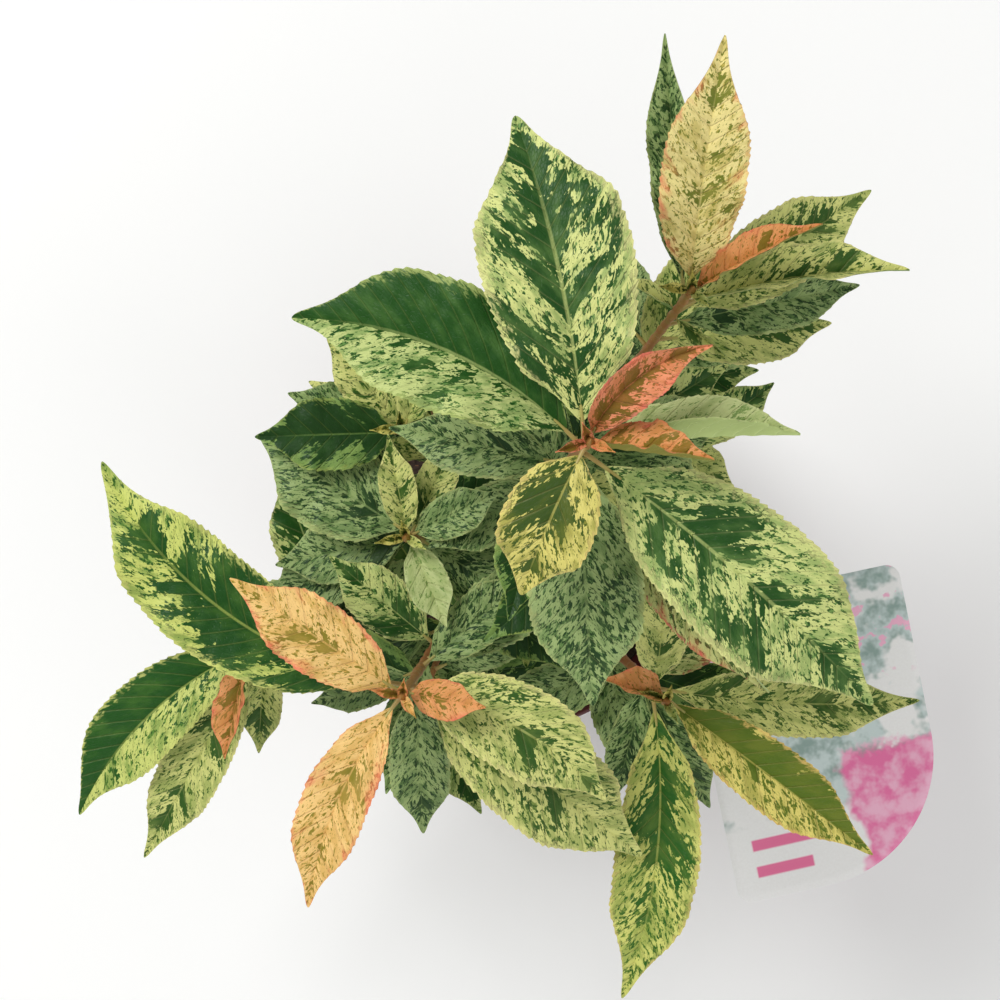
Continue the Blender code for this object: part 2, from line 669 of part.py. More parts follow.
def main():
    for obj in list(bpy.data.objects):
        bpy.data.objects.remove(obj)
    plastic = material("pot plastic", (0.060, 0.012, 0.014), 0.5)
    card = material("label card", (0.78, 0.76, 0.74), 0.4)
    earth = material("compost", (0.022, 0.014, 0.009), 0.95)
    bark = material("bark", (0.17, 0.085, 0.045), 0.8)
    leaf_green = material("foliage", (0.19, 0.30, 0.07), 0.45)
    build_pot(plastic)
    build_label(card)
    build_compost(earth)
    build_trunk(bark)
    build_foliage(leaf_green, build_boughs(bark))


main()
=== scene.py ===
"""Looks of the potted Chinese photinia: toothed, veined and splashed leaves on barked limbs.

Metres, +Z up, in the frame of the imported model. The shoots, twigs and leaves follow the rule of
the model's source, written again here and carried to finer blades within the same reach.
"""

import json
import math
import random
from collections import namedtuple

import bmesh
import bpy
import numpy as np
from mathutils import Matrix, Vector
from mathutils.bvhtree import BVHTree

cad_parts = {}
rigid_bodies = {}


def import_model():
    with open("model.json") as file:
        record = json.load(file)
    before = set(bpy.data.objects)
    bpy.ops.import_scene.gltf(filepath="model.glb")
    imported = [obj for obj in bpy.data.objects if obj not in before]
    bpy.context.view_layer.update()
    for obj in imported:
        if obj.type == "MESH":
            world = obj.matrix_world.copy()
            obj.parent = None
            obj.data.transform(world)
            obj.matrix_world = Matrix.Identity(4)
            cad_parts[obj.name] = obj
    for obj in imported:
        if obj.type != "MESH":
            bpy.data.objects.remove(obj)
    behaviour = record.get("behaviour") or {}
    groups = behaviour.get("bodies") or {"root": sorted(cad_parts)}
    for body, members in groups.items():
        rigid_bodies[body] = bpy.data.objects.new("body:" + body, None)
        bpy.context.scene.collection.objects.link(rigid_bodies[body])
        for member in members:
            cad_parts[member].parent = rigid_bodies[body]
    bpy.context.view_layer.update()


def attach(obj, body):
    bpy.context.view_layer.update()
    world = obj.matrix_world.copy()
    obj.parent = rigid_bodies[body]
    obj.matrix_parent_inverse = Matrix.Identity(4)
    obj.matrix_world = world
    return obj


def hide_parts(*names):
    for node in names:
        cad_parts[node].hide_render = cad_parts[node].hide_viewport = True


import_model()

MM = 0.001
GAP = 0.3 * MM

# The pot, compost and label, as the model has them.
POT_HEIGHT = 150 * MM
POT_FOOT_RADIUS = 68 * MM
POT_RIM_RADIUS = 95 * MM
POT_WALL = 1.8 * MM
POT_FLOOR = 2.2 * MM
RIM_DEPTH = 12 * MM
RIM_REACH = 3.2 * MM
STEP_HEIGHT = 118 * MM
STEP_REACH = 1.6 * MM
STEP_RAMP = 2 * MM
HOLE_COUNT = 6
HOLE_RADIUS = 6 * MM
HOLE_CIRCLE = 50 * MM
SOIL_TOP = 137 * MM
SOIL_EDGE_DROP = 2.5 * MM
LABEL_WIDTH = 107 * MM
LABEL_HEIGHT = 145 * MM
LABEL_THICKNESS = 0.7 * MM
LABEL_CORNER = (85 * MM, -36 * MM, 155 * MM)
LABEL_TURN = 12
LABEL_SLOPE = 7
LABEL_SLOPE_HEADING = -35
LABEL_SMALL_ROUND = 7 * MM
LABEL_LARGE_ROUND = 62 * MM
STRAP_WIDTH = 12 * MM
STRAP_HEADING = -27
STRAP_FOOT_RADIUS = 80 * MM
STRAP_BURIED = 14 * MM
STRAP_BEND = 8 * MM
STRAP_CREST = 0.6 * MM
STRAP_LAP = 22 * MM

# What the pot, compost and card have here besides: turned sides, a rounded bead on the rim,
# moulding lines low on the wall, loose crumbs of six corners each, and a slight curl.
POT_SIDES = 144
BEAD = 1.6 * MM
MOULDING_ROWS = (7, 8)
MOULDING_RISE = 0.35 * MM
BED_SIDES = 180
BED_RINGS = 60
BED_BUMPS = 1.3 * MM
BED_SEED = 5
BED_SINK = 0.4 * MM
BED_TOP_DEPTH = 4 * MM
CALM_CENTRE = 8 * MM
CALM_CENTRE_SPAN = 14 * MM
CALM_WALL = 84 * MM
CALM_WALL_SPAN = 6 * MM
CRUMB_COUNT = 2600
CRUMB_SEED = 21
CRUMB_SPREAD = 83 * MM
DOME_RADIUS = 85 * MM
CRUMB_CORNERS = (
    (0, 0, 1), (0.9, 0, 0.2), (0.2, 0.9, 0.3), (-0.8, 0.3, 0.1), (-0.3, -0.9, 0.25), (0, 0, -1),
)
CRUMB_FACES = ((0, 1, 2), (0, 2, 3), (0, 3, 4), (0, 4, 1), (5, 2, 1), (5, 3, 2), (5, 4, 3), (5, 1, 4))
CRUMB_KINDS = (
    ("crumb_dark", 0.62, (34, 24, 18), (70, 50, 36)),
    ("crumb_brown", 0.31, (74, 48, 30), (118, 82, 54)),
    ("crumb_ash", 0.07, (96, 84, 70), (138, 122, 100)),
)
CARD_CURL = 3 * MM

# Limbs: radii where they meet, as in the model, with the sides that its rings have.
TRUNK_FLARE_RADIUS = 10.5 * MM
TRUNK_FLARE_SHARE = 0.09
TRUNK_RADIUS = 6.2 * MM
TRUNK_TIP_RADIUS = 5.2 * MM
TRUNK_TOP = (5 * MM, 6 * MM, 198 * MM)
TRUNK_BOW = (-1.5 * MM, -1.5 * MM, 0)
BOUGH_ROOT_RADIUS = 3.7 * MM
BOUGH_TIP_RADIUS = 2.8 * MM
BOUGH_SIDES = 8
SHOOT_TIP_RADIUS = 1.3 * MM
SHOOT_SIDES = 7
BUD_LENGTH = 6 * MM
TWIG_ROOT_RADIUS = 1.5 * MM
TWIG_TIP_RADIUS = 0.9 * MM
TWIG_SIDES = 5
LIMB_POINTS = 9
RING_START = (0.31, 0.95, 0.05)

# Limbs as drawn here: stations along, sides round, bark relief and swellings under the leaves.
TRUNK_GRID = (90, 28)
LOBE_COUNT = 5
LOBE_DEPTH = 0.16
LOBE_SPAN = 0.12
TRUNK_RELIEF = 0.45 * MM
TRUNK_SEED = 3
FINE_BOUGH_POINTS = 60
FINE_SHOOT_POINTS = 150
FINE_BUD_POINTS = 12
FINE_TWIG_POINTS = 31
STEM_SIDES = 16
STEM_RELIEF = 0.16 * MM
STEM_SEED = 11
LEAF_NODE_RISE = 0.35 * MM
LEAF_NODE_SHARE = 0.008
FINE_TWIG_SIDES = 10
FINE_STALK_RADIUS = 0.85 * MM
FINE_STALK_POINTS = 14
FINE_STALK_SIDES = 10
GROWN_LENGTH = 60

# A leaf as in the model, for finding its room.
STALK_SHARE = 0.13
STALK_RADIUS = 0.95 * MM
LEAF_THICKNESS = 0.0125
LEAF_THINNEST = 1.0 * MM
BLADE_STATIONS = (0.0, 0.08, 0.22, 0.4, 0.58, 0.74, 0.87, 0.95, 1.0)
LOWER_STATIONS = (0.0, 0.15, 0.4, 0.65, 0.88, 1.0)
WIDEST_AT = 0.5
FLANK_POWER = 0.62
TIP_PINCH = 0.48
TIP_PINCH_AT = 0.93
TIP_PINCH_SPAN = 0.06
BLADE_THINNING = 0.45
SPINE_SAMPLES = 49
GOLDEN_ANGLE = 137.5
SPIRAL_SPAN = (0.12, 0.68)
SPIRAL_LENGTH = (58, 84)
SPIRAL_WIDTH_SHARE = (0.36, 0.46)
SPIRAL_RISE = (0, 38)
SPIRAL_ARCH = (24, 46)
SPIRAL_SCATTER = 10
SPIRAL_SWING = 16
SPIRAL_ROLL = 12
SPIRAL_FOLD = (8, 20)
SIDE_STEP = 31
SIDE_TRIES = 5
TWIG_LEAVES = 4
TWIG_LEAF_SPAN = (0.45, 0.95)
TWIG_LEAF_LENGTH = (44, 62)

# A blade as drawn here. ACROSS runs from the midrib to the margin in shares of the half width.
# The base widens from BASE_WIDTH of the outline over BASE_SPAN of the length, and the tip
# narrows by TIP_DRAWN over TIP_SPAN from TIP_FROM on. Teeth, waves and fullness differ by leaf.
ACROSS = (0.0, 0.05, 0.22, 0.45, 0.68, 0.86, 0.94, 1.0)
TOP_COLUMNS = len(ACROSS) * 2 - 2
BLADE_START = 0.075
FULLNESS = (0.92, 1.12)
TIP_FROM = 0.64
TIP_SPAN = 0.32
TIP_DRAWN = 0.66
BASE_SPAN = 0.18
BASE_WIDTH = 0.5
LEAST_HALF_WIDTH = 0.3 * MM
TOOTH_PITCH = 3.4 * MM
TOOTH_DEPTH = 1.25 * MM
POINTS_PER_TOOTH = 4
LEAST_TEETH = 12
TOOTH_VIGOUR = (0.45, 1.15)
TOOTH_FROM = 0.06
FULL_TOOTH_AT = 5 * MM
WAVE_HEIGHT = 0.085
WAVE_COUNT = (3.0, 5.0)
RECURVE = 0.10
VEIN_PITCH = 7.5 * MM
VEIN_WIDTH = 0.13
VEIN_DEPTH = 0.36 * MM
PLEAT_HEIGHT = 0.25 * MM
MIDRIB_DEPTH = 0.5 * MM
MIDRIB_WIDTH = 0.9 * MM
KEEL_DEPTH = 0.75 * MM
KEEL_WIDTH = 0.8 * MM
PAPER = 0.38 * MM

# The vein field's unit, and the step that sets one leaf's pattern apart from the next one's.
FIELD_UNIT = 10 * MM
LEAF_NUMBER_STEP = 7.31

# Small leaves that open at the end of each shoot.
BUD_LEAVES = 3
BUD_LEAF_LENGTH = 17

# The studio: the camera's height and lens, the light all round, and the lamps by name, place,
# size and power.
CAMERA_HEIGHT = 1.55
CAMERA_NORTH = 0.016
FOCAL_PIXELS = 2940
IMAGE_PIXELS = 1000
SENSOR_WIDTH = 36
FLOOR_REACH = 6.0
SKY_STRENGTH = 0.5
LAMP_TARGET = (0, 0, 0.3)
LAMPS = (
    ("key", (-0.8, 0.6, 1.8), 0.7, 21),
    ("fill", (1.3, -0.6, 1.4), 1.4, 5),
    ("front", (0.1, -1.9, 0.9), 1.4, 6),
)

# One leaf: its place up the stem, heading, length, width, rise, arch, swing, roll and fold.
Leaf = namedtuple("Leaf", "place heading length width rise arch swing roll fold")

# Shoots as in the model's source. The last word of a leaf row is its colouring.
SHOOTS = {
    "leader": {
        "root": 198, "foot": (10, 12, 236), "tip": (32, 37, 495), "spiral": (12, 100, 8),
        "twigs": ((0.24, 95, 52), (0.4, 300, 46)),
        "leaves": (
            (0.99, 40, 70, 22, 52, 30, -60, 20, 35, "salmon"),
            (0.985, -8, 49, 24, 30, 10, 0, -42, 56, "orange"),
            (0.965, -113, 64, 37, 8, 45, 10, 0, 12, "olive"),
            (0.955, 3, 79, 32, 24, 20, -8, -55, 62, "pale"),
            (0.94, 102, 125, 59, 20, 35, 14, 0, 12, "streaked"),
            (0.915, 156, 123, 54, 18, 38, 46, 8, 24, "halved"),
            (0.88, -41, 150, 56, 12, 36, -12, 0, 12, "splashed"),
            (0.83, -86, 101, 46, 0, 28, 0, 0, 10, "grey"),
            (0.78, -50, 124, 26, -2, 22, 8, 48, 40, "pink_edged"),
            (0.74, 75, 76, 24, 6, 22, 0, 10, 14, "dark"),
            (0.68, 18, 70, 30, 10, 22, 0, 0, 14, "grey"),
        ),
    },
    "back_right": {
        "root": 175, "foot": (27, 31, 222), "tip": (73, 96, 425), "spiral": (8, 250, 2),
        "twigs": ((0.3, 330, 44),),
        "leaves": (
            (0.99, 85, 117, 34, 52, 20, -6, 0, 14, "yellow"),
            (0.95, 96, 107, 22, 36, 22, -2, -18, 34, "grey"),
            (0.98, 27, 70, 20, 58, 34, -14, -35, 50, "orange"),
            (0.93, 8, 90, 28, 24, 24, -18, -34, 46, "lime"),
            (0.87, 32, 92, 33, 14, 22, 6, 0, 14, "lime"),
            (0.81, 12, 82, 26, 2, 20, 0, 6, 14, "grey"),
            (0.73, 6, 77, 28, -4, 20, 6, 0, 12, "lime"),
            (0.60, 17, 74, 28, -8, 20, 8, 0, 12, "grey"),
            (0.90, 150, 24, 10, 10, 20, 0, 40, 40, "lime"),
            (0.86, -38, 27, 10, 20, 20, 0, 30, 40, "lime"),
        ),
    },
    "front": {
        "root": 167, "foot": (-13, -26, 216), "tip": (-38, -60, 405), "spiral": (8, 150, 53),
        "twigs": ((0.3, 250, 40),),
        "leaves": (
            (0.99, 145, 84, 31, 28, 22, 0, 0, 16, "peach"),
            (0.98, -114, 95, 30, 14, 32, 32, 8, 22, "peach"),
            (0.97, -8, 40, 17, 44, 14, 0, 0, 10, "orange"),
            (0.95, -30, 96, 38, 12, 40, -44, 0, 14, "lime"),
            (0.89, -38, 127, 46, -4, 28, -4, 0, 12, "lime"),
            (0.82, -88, 78, 27, -22, 14, 0, 0, 12, "grey"),
            (0.91, 144, 159, 46, 8, 22, -56, 0, 20, "dark_lime"),
            (0.78, 198, 54, 18, -18, 20, 0, 0, 12, "grey"),
            (0.74, 40, 62, 24, 0, 20, 0, 0, 12, "grey"),
        ),
    },
    "front_left": {
        "root": 151, "foot": (-44, -19, 198), "tip": (-108, -48, 305), "spiral": (6, 50, 51),
        "twigs": (),
        "leaves": (
            (0.99, -101, 47, 20, 18, 20, 0, 30, 40, "orange"),
            (0.94, -136, 112, 37, 4, 28, 42, 0, 18, "dark_edged"),
            (0.91, -119, 113, 30, -2, 26, -2, 0, 18, "lime"),
            (0.86, -96, 58, 20, -18, 20, 0, 0, 14, "lime"),
            (0.80, 150, 52, 18, 4, 18, 0, 0, 16, "pink_edged"),
        ),
    },
    "front_right": {
        "root": 159, "foot": (27, -28, 206), "tip": (67, -65, 360), "spiral": (7, 240, 48),
        "twigs": (),
        "leaves": (
            (0.985, 160, 36, 22, 50, 22, 0, 35, 52, "orange"),
            (0.86, -95, 136, 38, 4, 22, -30, 0, 16, "green_lime"),
            (0.93, -37, 110, 31, 14, 22, -2, 0, 20, "olive_half"),
            (0.88, -3, 113, 30, 6, 22, 14, 0, 16, "lime"),
            (0.90, 86, 64, 24, 44, 18, 0, 0, 18, "lime"),
            (0.80, -102, 56, 20, -14, 18, 0, 0, 12, "grey"),
            (0.76, -62, 72, 24, -12, 20, 0, 0, 14, "grey"),
            (0.82, 40, 56, 24, 4, 20, 0, 0, 14, "pink_edged"),
        ),
    },
    "left": {
        "root": 191, "foot": (-23, 2, 226), "tip": (-38, 1, 352), "spiral": (8, 290, 31),
        "twigs": (),
        "leaves": (
            (0.98, 100, 47, 17, 34, 14, 0, 0, 20, "lime"),
            (0.965, 26, 46, 20, 32, 18, 0, 0, 14, "grey"),
            (0.94, -67, 42, 20, 26, 14, 0, 0, 22, "pale"),
            (0.92, 64, 46, 18, 22, 16, 0, 0, 16, "lime"),
            (0.86, 147, 76, 43, 10, 24, 0, 0, 10, "grey"),
            (0.78, -168, 64, 28, -6, 18, 0, 0, 12, "grey"),
            (0.83, -31, 62, 30, 10, 22, 0, 0, 12, "grey"),
            (0.74, -42, 86, 30, 4, 20, 0, 0, 12, "dark"),
            (0.80, 36, 62, 28, 6, 20, 0, 0, 12, "dark"),
        ),
    },
    "back_left": {
        "root": 183, "foot": (-14, 20, 206), "tip": (-40, 45, 345), "spiral": (8, 230, 34),
        "twigs": ((0.36, 100, 40),),
        "leaves": (
            (0.98, 70, 44, 18, 30, 20, 0, 0, 20, "lime"),
            (0.95, -178, 63, 32, 24, 28, 0, 0, 12, "dark"),
            (0.91, 130, 54, 22, 30, 22, 0, 0, 14, "lime"),
            (0.84, 160, 56, 26, 18, 24, 0, 0, 12, "grey"),
            (0.78, 20, 62, 28, 14, 22, 0, 0, 12, "grey"),
            (0.74, -40, 60, 26, 8, 22, 0, 0, 12, "dark"),
        ),
    },
}
LOWER_COLOURINGS = ("grey", "lime", "grey", "dark", "splashed", "grey")

# A colouring: ground, flecks, splashes and margin as sRGB, how far flecks and splashes spread
# (0 none, 1 all over), which half is darker (lean: above 0 the right one, below 0 the left one),
# how much paler the tip is, and its underside.
Colouring = namedtuple(
    "Colouring", "ground fleck splash margin flecks splashes lean tipped underside",
    defaults=(0.0, 0.0, "green"),
)
COLOURINGS = {
    "splashed": Colouring((200, 208, 130), (112, 146, 76), (32, 74, 22), (212, 210, 138), 0.44, 0.54),
    "streaked": Colouring((206, 212, 132), (112, 146, 76), (30, 72, 22), (216, 214, 142), 0.46, 0.72),
    "halved": Colouring((190, 202, 128), (98, 136, 66), (30, 74, 20), (172, 186, 108), 0.46, 0.58,
                        lean=1.0),
    "grey": Colouring((152, 172, 110), (92, 122, 66), (34, 62, 28), (188, 198, 128), 0.50, 0.24),
    "lime": Colouring((208, 210, 128), (130, 150, 72), (50, 86, 28), (226, 218, 144), 0.42, 0.38),
    "dark": Colouring((122, 150, 78), (58, 96, 42), (26, 60, 18), (160, 178, 92), 0.40, 0.84),
    "dark_lime": Colouring((198, 206, 110), (92, 130, 52), (28, 74, 22), (208, 210, 120), 0.42, 0.82,
                           lean=0.15, tipped=0.75),
    "green_lime": Colouring((204, 206, 112), (122, 144, 60), (40, 92, 26), (224, 206, 122), 0.46, 0.52,
                            tipped=0.5),
    "dark_edged": Colouring((200, 208, 116), (90, 132, 50), (30, 80, 22), (208, 210, 120), 0.42, 0.60,
                            lean=0.9),
    "yellow": Colouring((236, 220, 146), (186, 170, 84), (112, 122, 42), (242, 196, 130), 0.38, 0.32,
                        underside="olive"),
    "peach": Colouring((238, 198, 126), (206, 164, 84), (134, 124, 40), (236, 160, 110), 0.40, 0.38,
                       underside="olive"),
    "orange": Colouring((222, 156, 98), (196, 134, 68), (128, 110, 38), (222, 126, 92), 0.34, 0.46,
                        underside="olive"),
    "salmon": Colouring((226, 144, 104), (190, 116, 66), (118, 94, 32), (228, 136, 114), 0.44, 0.50,
                        underside="rust"),
    "olive": Colouring((212, 202, 112), (128, 130, 50), (58, 82, 26), (226, 204, 122), 0.44, 0.54,
                       tipped=0.3, underside="olive"),
    "olive_half": Colouring((216, 202, 110), (132, 134, 50), (84, 106, 28), (230, 192, 112), 0.46, 0.46,
                            lean=-0.8, tipped=0.2, underside="olive"),
    "pale": Colouring((186, 196, 134), (148, 166, 98), (112, 140, 72), (200, 206, 146), 0.30, 0.22,
                      underside="pale"),
    "pink_edged": Colouring((196, 198, 126), (120, 138, 68), (44, 80, 30), (216, 124, 104), 0.42, 0.40,
                            underside="pale"),
}
LOWER_COLOURINGS = ("grey", "lime", "grey", "dark", "splashed", "grey")
BUD_COLOURINGS = {"leader": ("salmon", "orange"), "front": ("orange", "peach")}
PLAIN_BUDS = ("olive", "lime")
BLUSH = (226, 98, 84)
BLUSHING = ("yellow", "peach", "orange", "salmon", "pink_edged")

# Undersides: two greens or browns that cloud into each other, and the raised veins.
UNDERSIDES = {
    "green": ((140, 164, 96), (122, 148, 84), (168, 192, 124)),
    "olive": ((150, 144, 62), (136, 128, 50), (178, 172, 90)),
    "rust": ((186, 118, 76), (168, 100, 62), (214, 146, 104)),
    "pale": ((188, 204, 132), (172, 192, 118), (216, 232, 160)),
}


def linear(colour):
    """A colour of 0 to 255 in sRGB as linear red, green, blue and alpha."""
    c = np.array(colour) / 255
    low = c / 12.92
    high = ((c + 0.055) / 1.055) ** 2.4
    return (*np.where(c <= 0.04045, low, high), 1.0)


class Nodes:
    """A short way to write a material's node tree."""

    def __init__(self, name):
        self.material = bpy.data.materials.new(name)
        self.material.use_nodes = True
        self.tree = self.material.node_tree
        self.shader = self.tree.nodes["Principled BSDF"]

    def node(self, kind, settings=None, **inputs):
        """A node with its settings, and its inputs by name set or linked."""
        made = self.tree.nodes.new(kind)
        for key, value in (settings or {}).items():
            setattr(made, key, value)
        for key, value in inputs.items():
            self.feed(made.inputs[key.replace("_", " ")], value)
        return made

    def feed(self, socket, value):
        """Link an output, or set a plain value."""
        if isinstance(value, bpy.types.NodeSocket):
            self.tree.links.new(value, socket)
        else:
            socket.default_value = value

    def math(self, operation, *values):
        """One sum or comparison of up to three values."""
        made = self.node("ShaderNodeMath", {"operation": operation})
        for socket, value in zip(made.inputs, values):
            self.feed(socket, value)
        return made.outputs[0]

    def times(self, first, second):
        return self.math("MULTIPLY", first, second)

    def plus(self, first, second):
        return self.math("ADD", first, second)

    def scaled(self, value, factor, start):
        """The value times a factor, plus a start."""
        return self.math("MULTIPLY_ADD", value, factor, start)

    def centred(self, value):
        """The value less a half, so that a noise of 0 to 1 goes both ways."""
        return self.math("SUBTRACT", value, 0.5)

    def attribute(self, name):
        """The three parts of a mesh attribute, and the whole of it."""
        whole = self.node("ShaderNodeAttribute", {"attribute_name": name}).outputs["Vector"]
        return (*self.node("ShaderNodeSeparateXYZ", Vector=whole).outputs, whole)

    def place(self, stretch=None):
        """The point's own coordinates, multiplied by three scales where they are given."""
        where = self.node("ShaderNodeTexCoord").outputs["Object"]
        if stretch is None:
            return where
        return self.node("ShaderNodeMapping", Vector=where, Scale=stretch).outputs[0]

    def vector(self, x, y, z):
        return self.node("ShaderNodeCombineXYZ", X=x, Y=y, Z=z).outputs[0]

    def noise(self, where, scale, detail=2.0, roughness=0.5):
        made = self.node("ShaderNodeTexNoise", Vector=where, Scale=scale, Detail=detail,
                         Roughness=roughness)
        return made.outputs[0]

    def small_veins(self, where):
        """How far a point is from the nearest edge of a net of cells."""
        made = self.node("ShaderNodeTexVoronoi", {"feature": "DISTANCE_TO_EDGE"},
                         Vector=where, Scale=6.5)
        return made.outputs[0]

    def ramp(self, value, low, high):
        """0 at low, 1 at high, smooth between and level beyond; low may be the greater."""
        made = self.node("ShaderNodeMapRange", {"interpolation_type": "SMOOTHSTEP"},
                         Value=value, From_Min=low, From_Max=high)
        return made.outputs[0]

    def mix(self, share, first, second):
        """From the first colour to the second; a plain colour is sRGB of 0 to 255."""
        made = self.node("ShaderNodeMix", {"data_type": "RGBA"})
        self.feed(made.inputs[0], share)
        for socket, colour in ((made.inputs[6], first), (made.inputs[7], second)):
            self.feed(socket, linear(colour) if isinstance(colour, tuple) else colour)
        return made.outputs[2]

    def bump(self, height, distance, strength):
        made = self.node("ShaderNodeBump", Height=height, Distance=distance, Strength=strength)
        self.feed(self.shader.inputs["Normal"], made.outputs[0])

    def finish(self, colour, roughness, **plain):
        """The material, with its colour, its roughness and the shader's plain numbers by name."""
        self.feed(self.shader.inputs["Base Color"], colour)
        self.feed(self.shader.inputs["Roughness"], roughness)
        for key, value in plain.items():
            self.shader.inputs[key.replace("_", " ")].default_value = value
        return self.material


def side_vein(n, along):
    """How far a point is from the nearest side vein, in shares of their pitch."""
    lane = n.math("FRACT", n.times(along, FIELD_UNIT / VEIN_PITCH))
    return n.math("ABSOLUTE", n.centred(lane))


def leaf_top(name, look):
    """The upper face: flecks and splashes drawn out along the side veins on a pale ground."""
    n = Nodes("leaf_" + name)
    along, across, number, where = n.attribute("vein")
    station, half, _, _ = n.attribute("blade")
    reach = n.math("ABSOLUTE", half)

    # Noise in long patches, specks and grains, all stretched along the side veins.
    warp = n.noise(where, 0.9)
    bent = n.scaled(warp, 0.9, along)
    streaked = n.vector(bent, n.times(across, 0.5), number)
    dappled = n.vector(bent, n.times(across, 1.05), number)
    patch = n.noise(streaked, 0.75, 3.0, 0.62)
    speck = n.noise(dappled, 4.8, 2.0, 0.62)
    grain = n.noise(dappled, 9.5, 2.0, 0.6)
    cloud = n.noise(where, 1.2, 3.0, 0.55)

    # Splashes: the patches, fewer at the margin and the tip, more on a darker half, and frayed.
    deep = n.plus(patch, n.scaled(reach, -0.18, 0.07))
    if look.lean:
        midway = math.copysign(0.05, look.lean)
        deep = n.scaled(n.ramp(half, midway, -midway), 0.45 * abs(look.lean), deep)
        deep = n.plus(deep, -0.08 * abs(look.lean))
    if look.tipped:
        deep = n.scaled(n.ramp(station, 0.35, 0.85), -0.36 * look.tipped, deep)
        deep = n.plus(deep, 0.12 * look.tipped)
    deep = n.scaled(n.ramp(station, 0.86, 0.97), -0.12, deep)
    deep = n.scaled(n.centred(speck), 0.30, deep)
    deep = n.scaled(n.centred(grain), 0.16, deep)
    shore = 0.70 - 0.34 * look.splashes
    splash_mask = n.ramp(deep, shore - 0.012, shore + 0.012)

    # Flecks and dots between the splashes.
    bar = 0.86 - 0.42 * look.flecks
    fleck_mask = n.ramp(n.scaled(patch, 0.30, speck), bar, bar + 0.03)
    dots = n.ramp(grain, 0.665 - 0.10 * look.flecks, 0.69 - 0.10 * look.flecks)

    # Colours, one over another.
    worn = n.mix(0.62, look.ground, look.fleck)
    colour = n.mix(n.ramp(cloud, 0.46, 0.62), look.ground, worn)
    colour = n.mix(fleck_mask, colour, n.mix(n.ramp(grain, 0.40, 0.56), look.fleck, look.splash))
    colour = n.mix(n.times(dots, 0.85), colour, look.splash)
    lighter = n.mix(0.34, look.splash, look.fleck)
    colour = n.mix(splash_mask, colour, n.mix(n.ramp(cloud, 0.40, 0.72), look.splash, lighter))
    rim = n.scaled(n.centred(speck), 0.7, reach)
    colour = n.mix(n.times(n.ramp(rim, 0.84, 1.0), 0.7), colour, look.margin)
    colour = n.mix(n.times(n.ramp(reach, 0.95, 0.985), 0.45), colour, look.margin)
    if name in BLUSHING:
        blush = n.times(n.ramp(warp, 0.50, 0.62), n.ramp(rim, 0.45, 1.0))
        colour = n.mix(n.times(blush, 0.55), colour, BLUSH)
    midrib = n.times(n.ramp(reach, 0.036, 0.012), n.ramp(station, 1.0, 0.4))
    colour = n.mix(n.times(midrib, 0.6), colour, n.mix(0.34, look.ground, look.fleck))

    # Grooves over the side veins, and cushions between the small ones.
    groove = n.ramp(side_vein(n, along), 0.0, 0.10)
    colour = n.mix(n.times(n.math("SUBTRACT", 1.0, groove), 0.08), colour, look.margin)
    relief = n.scaled(n.ramp(n.small_veins(where), 0.0, 0.12), 0.22, n.times(groove, 0.8))
    n.bump(n.scaled(grain, 0.25, relief), 0.0004, 0.9)
    return n.finish(colour, n.scaled(grain, 0.16, 0.36), Specular_IOR_Level=0.2)


def leaf_underside(name, first, second, raised):
    """The lower face: smooth and matt, with a raised net of veins."""
    n = Nodes("underside_" + name)
    along, _, _, where = n.attribute("vein")
    cloud = n.noise(where, 1.4, 3.0, 0.55)
    ridge = n.ramp(side_vein(n, along), 0.10, 0.0)
    colour = n.mix(n.times(ridge, 0.3), n.mix(cloud, first, second), raised)
    small = n.times(n.ramp(n.small_veins(where), 0.10, 0.0), 0.3)
    n.bump(n.plus(ridge, small), 0.0003, 0.7)
    return n.finish(colour, n.scaled(cloud, 0.15, 0.5), Specular_IOR_Level=0.3)


def bark_material():
    """Grey-brown at the foot, smooth red-brown and then green-red on the young wood."""
    n = Nodes("bark")
    age = n.attribute("limb")[0]
    fibre = n.noise(n.place((1.0, 1.0, 0.25)), 900.0, 4.0, 0.65)
    blot = n.noise(n.place(), 180.0, 3.0, 0.6)
    old = n.mix(fibre, (92, 74, 56), (136, 118, 96))
    young = n.mix(blot, (128, 62, 40), (152, 96, 52))
    tender = n.mix(blot, (170, 88, 52), (150, 140, 66))
    colour = n.mix(n.ramp(age, 0.12, 0.5), old, young)
    colour = n.mix(n.ramp(age, 0.62, 0.98), colour, tender)
    pores = n.ramp(n.noise(n.place((1.0, 1.0, 2.5)), 420.0, 1.0), 0.66, 0.72)
    colour = n.mix(n.times(pores, 0.6), colour, (186, 160, 122))
    n.bump(n.scaled(fibre, 0.7, pores), 0.0004, 0.8)
    return n.finish(colour, n.scaled(fibre, 0.2, 0.5))


def stalk_material():
    """Leaf stalks: reddish at the stem, yellow-green towards the blade."""
    n = Nodes("stalk")
    share = n.attribute("limb")[0]
    blot = n.noise(n.place(), 260.0)
    green = n.scaled(blot, 0.5, n.times(share, 0.5))
    n.bump(blot, 0.0002, 0.6)
    return n.finish(n.mix(green, (158, 104, 58), (172, 176, 96)), 0.42)


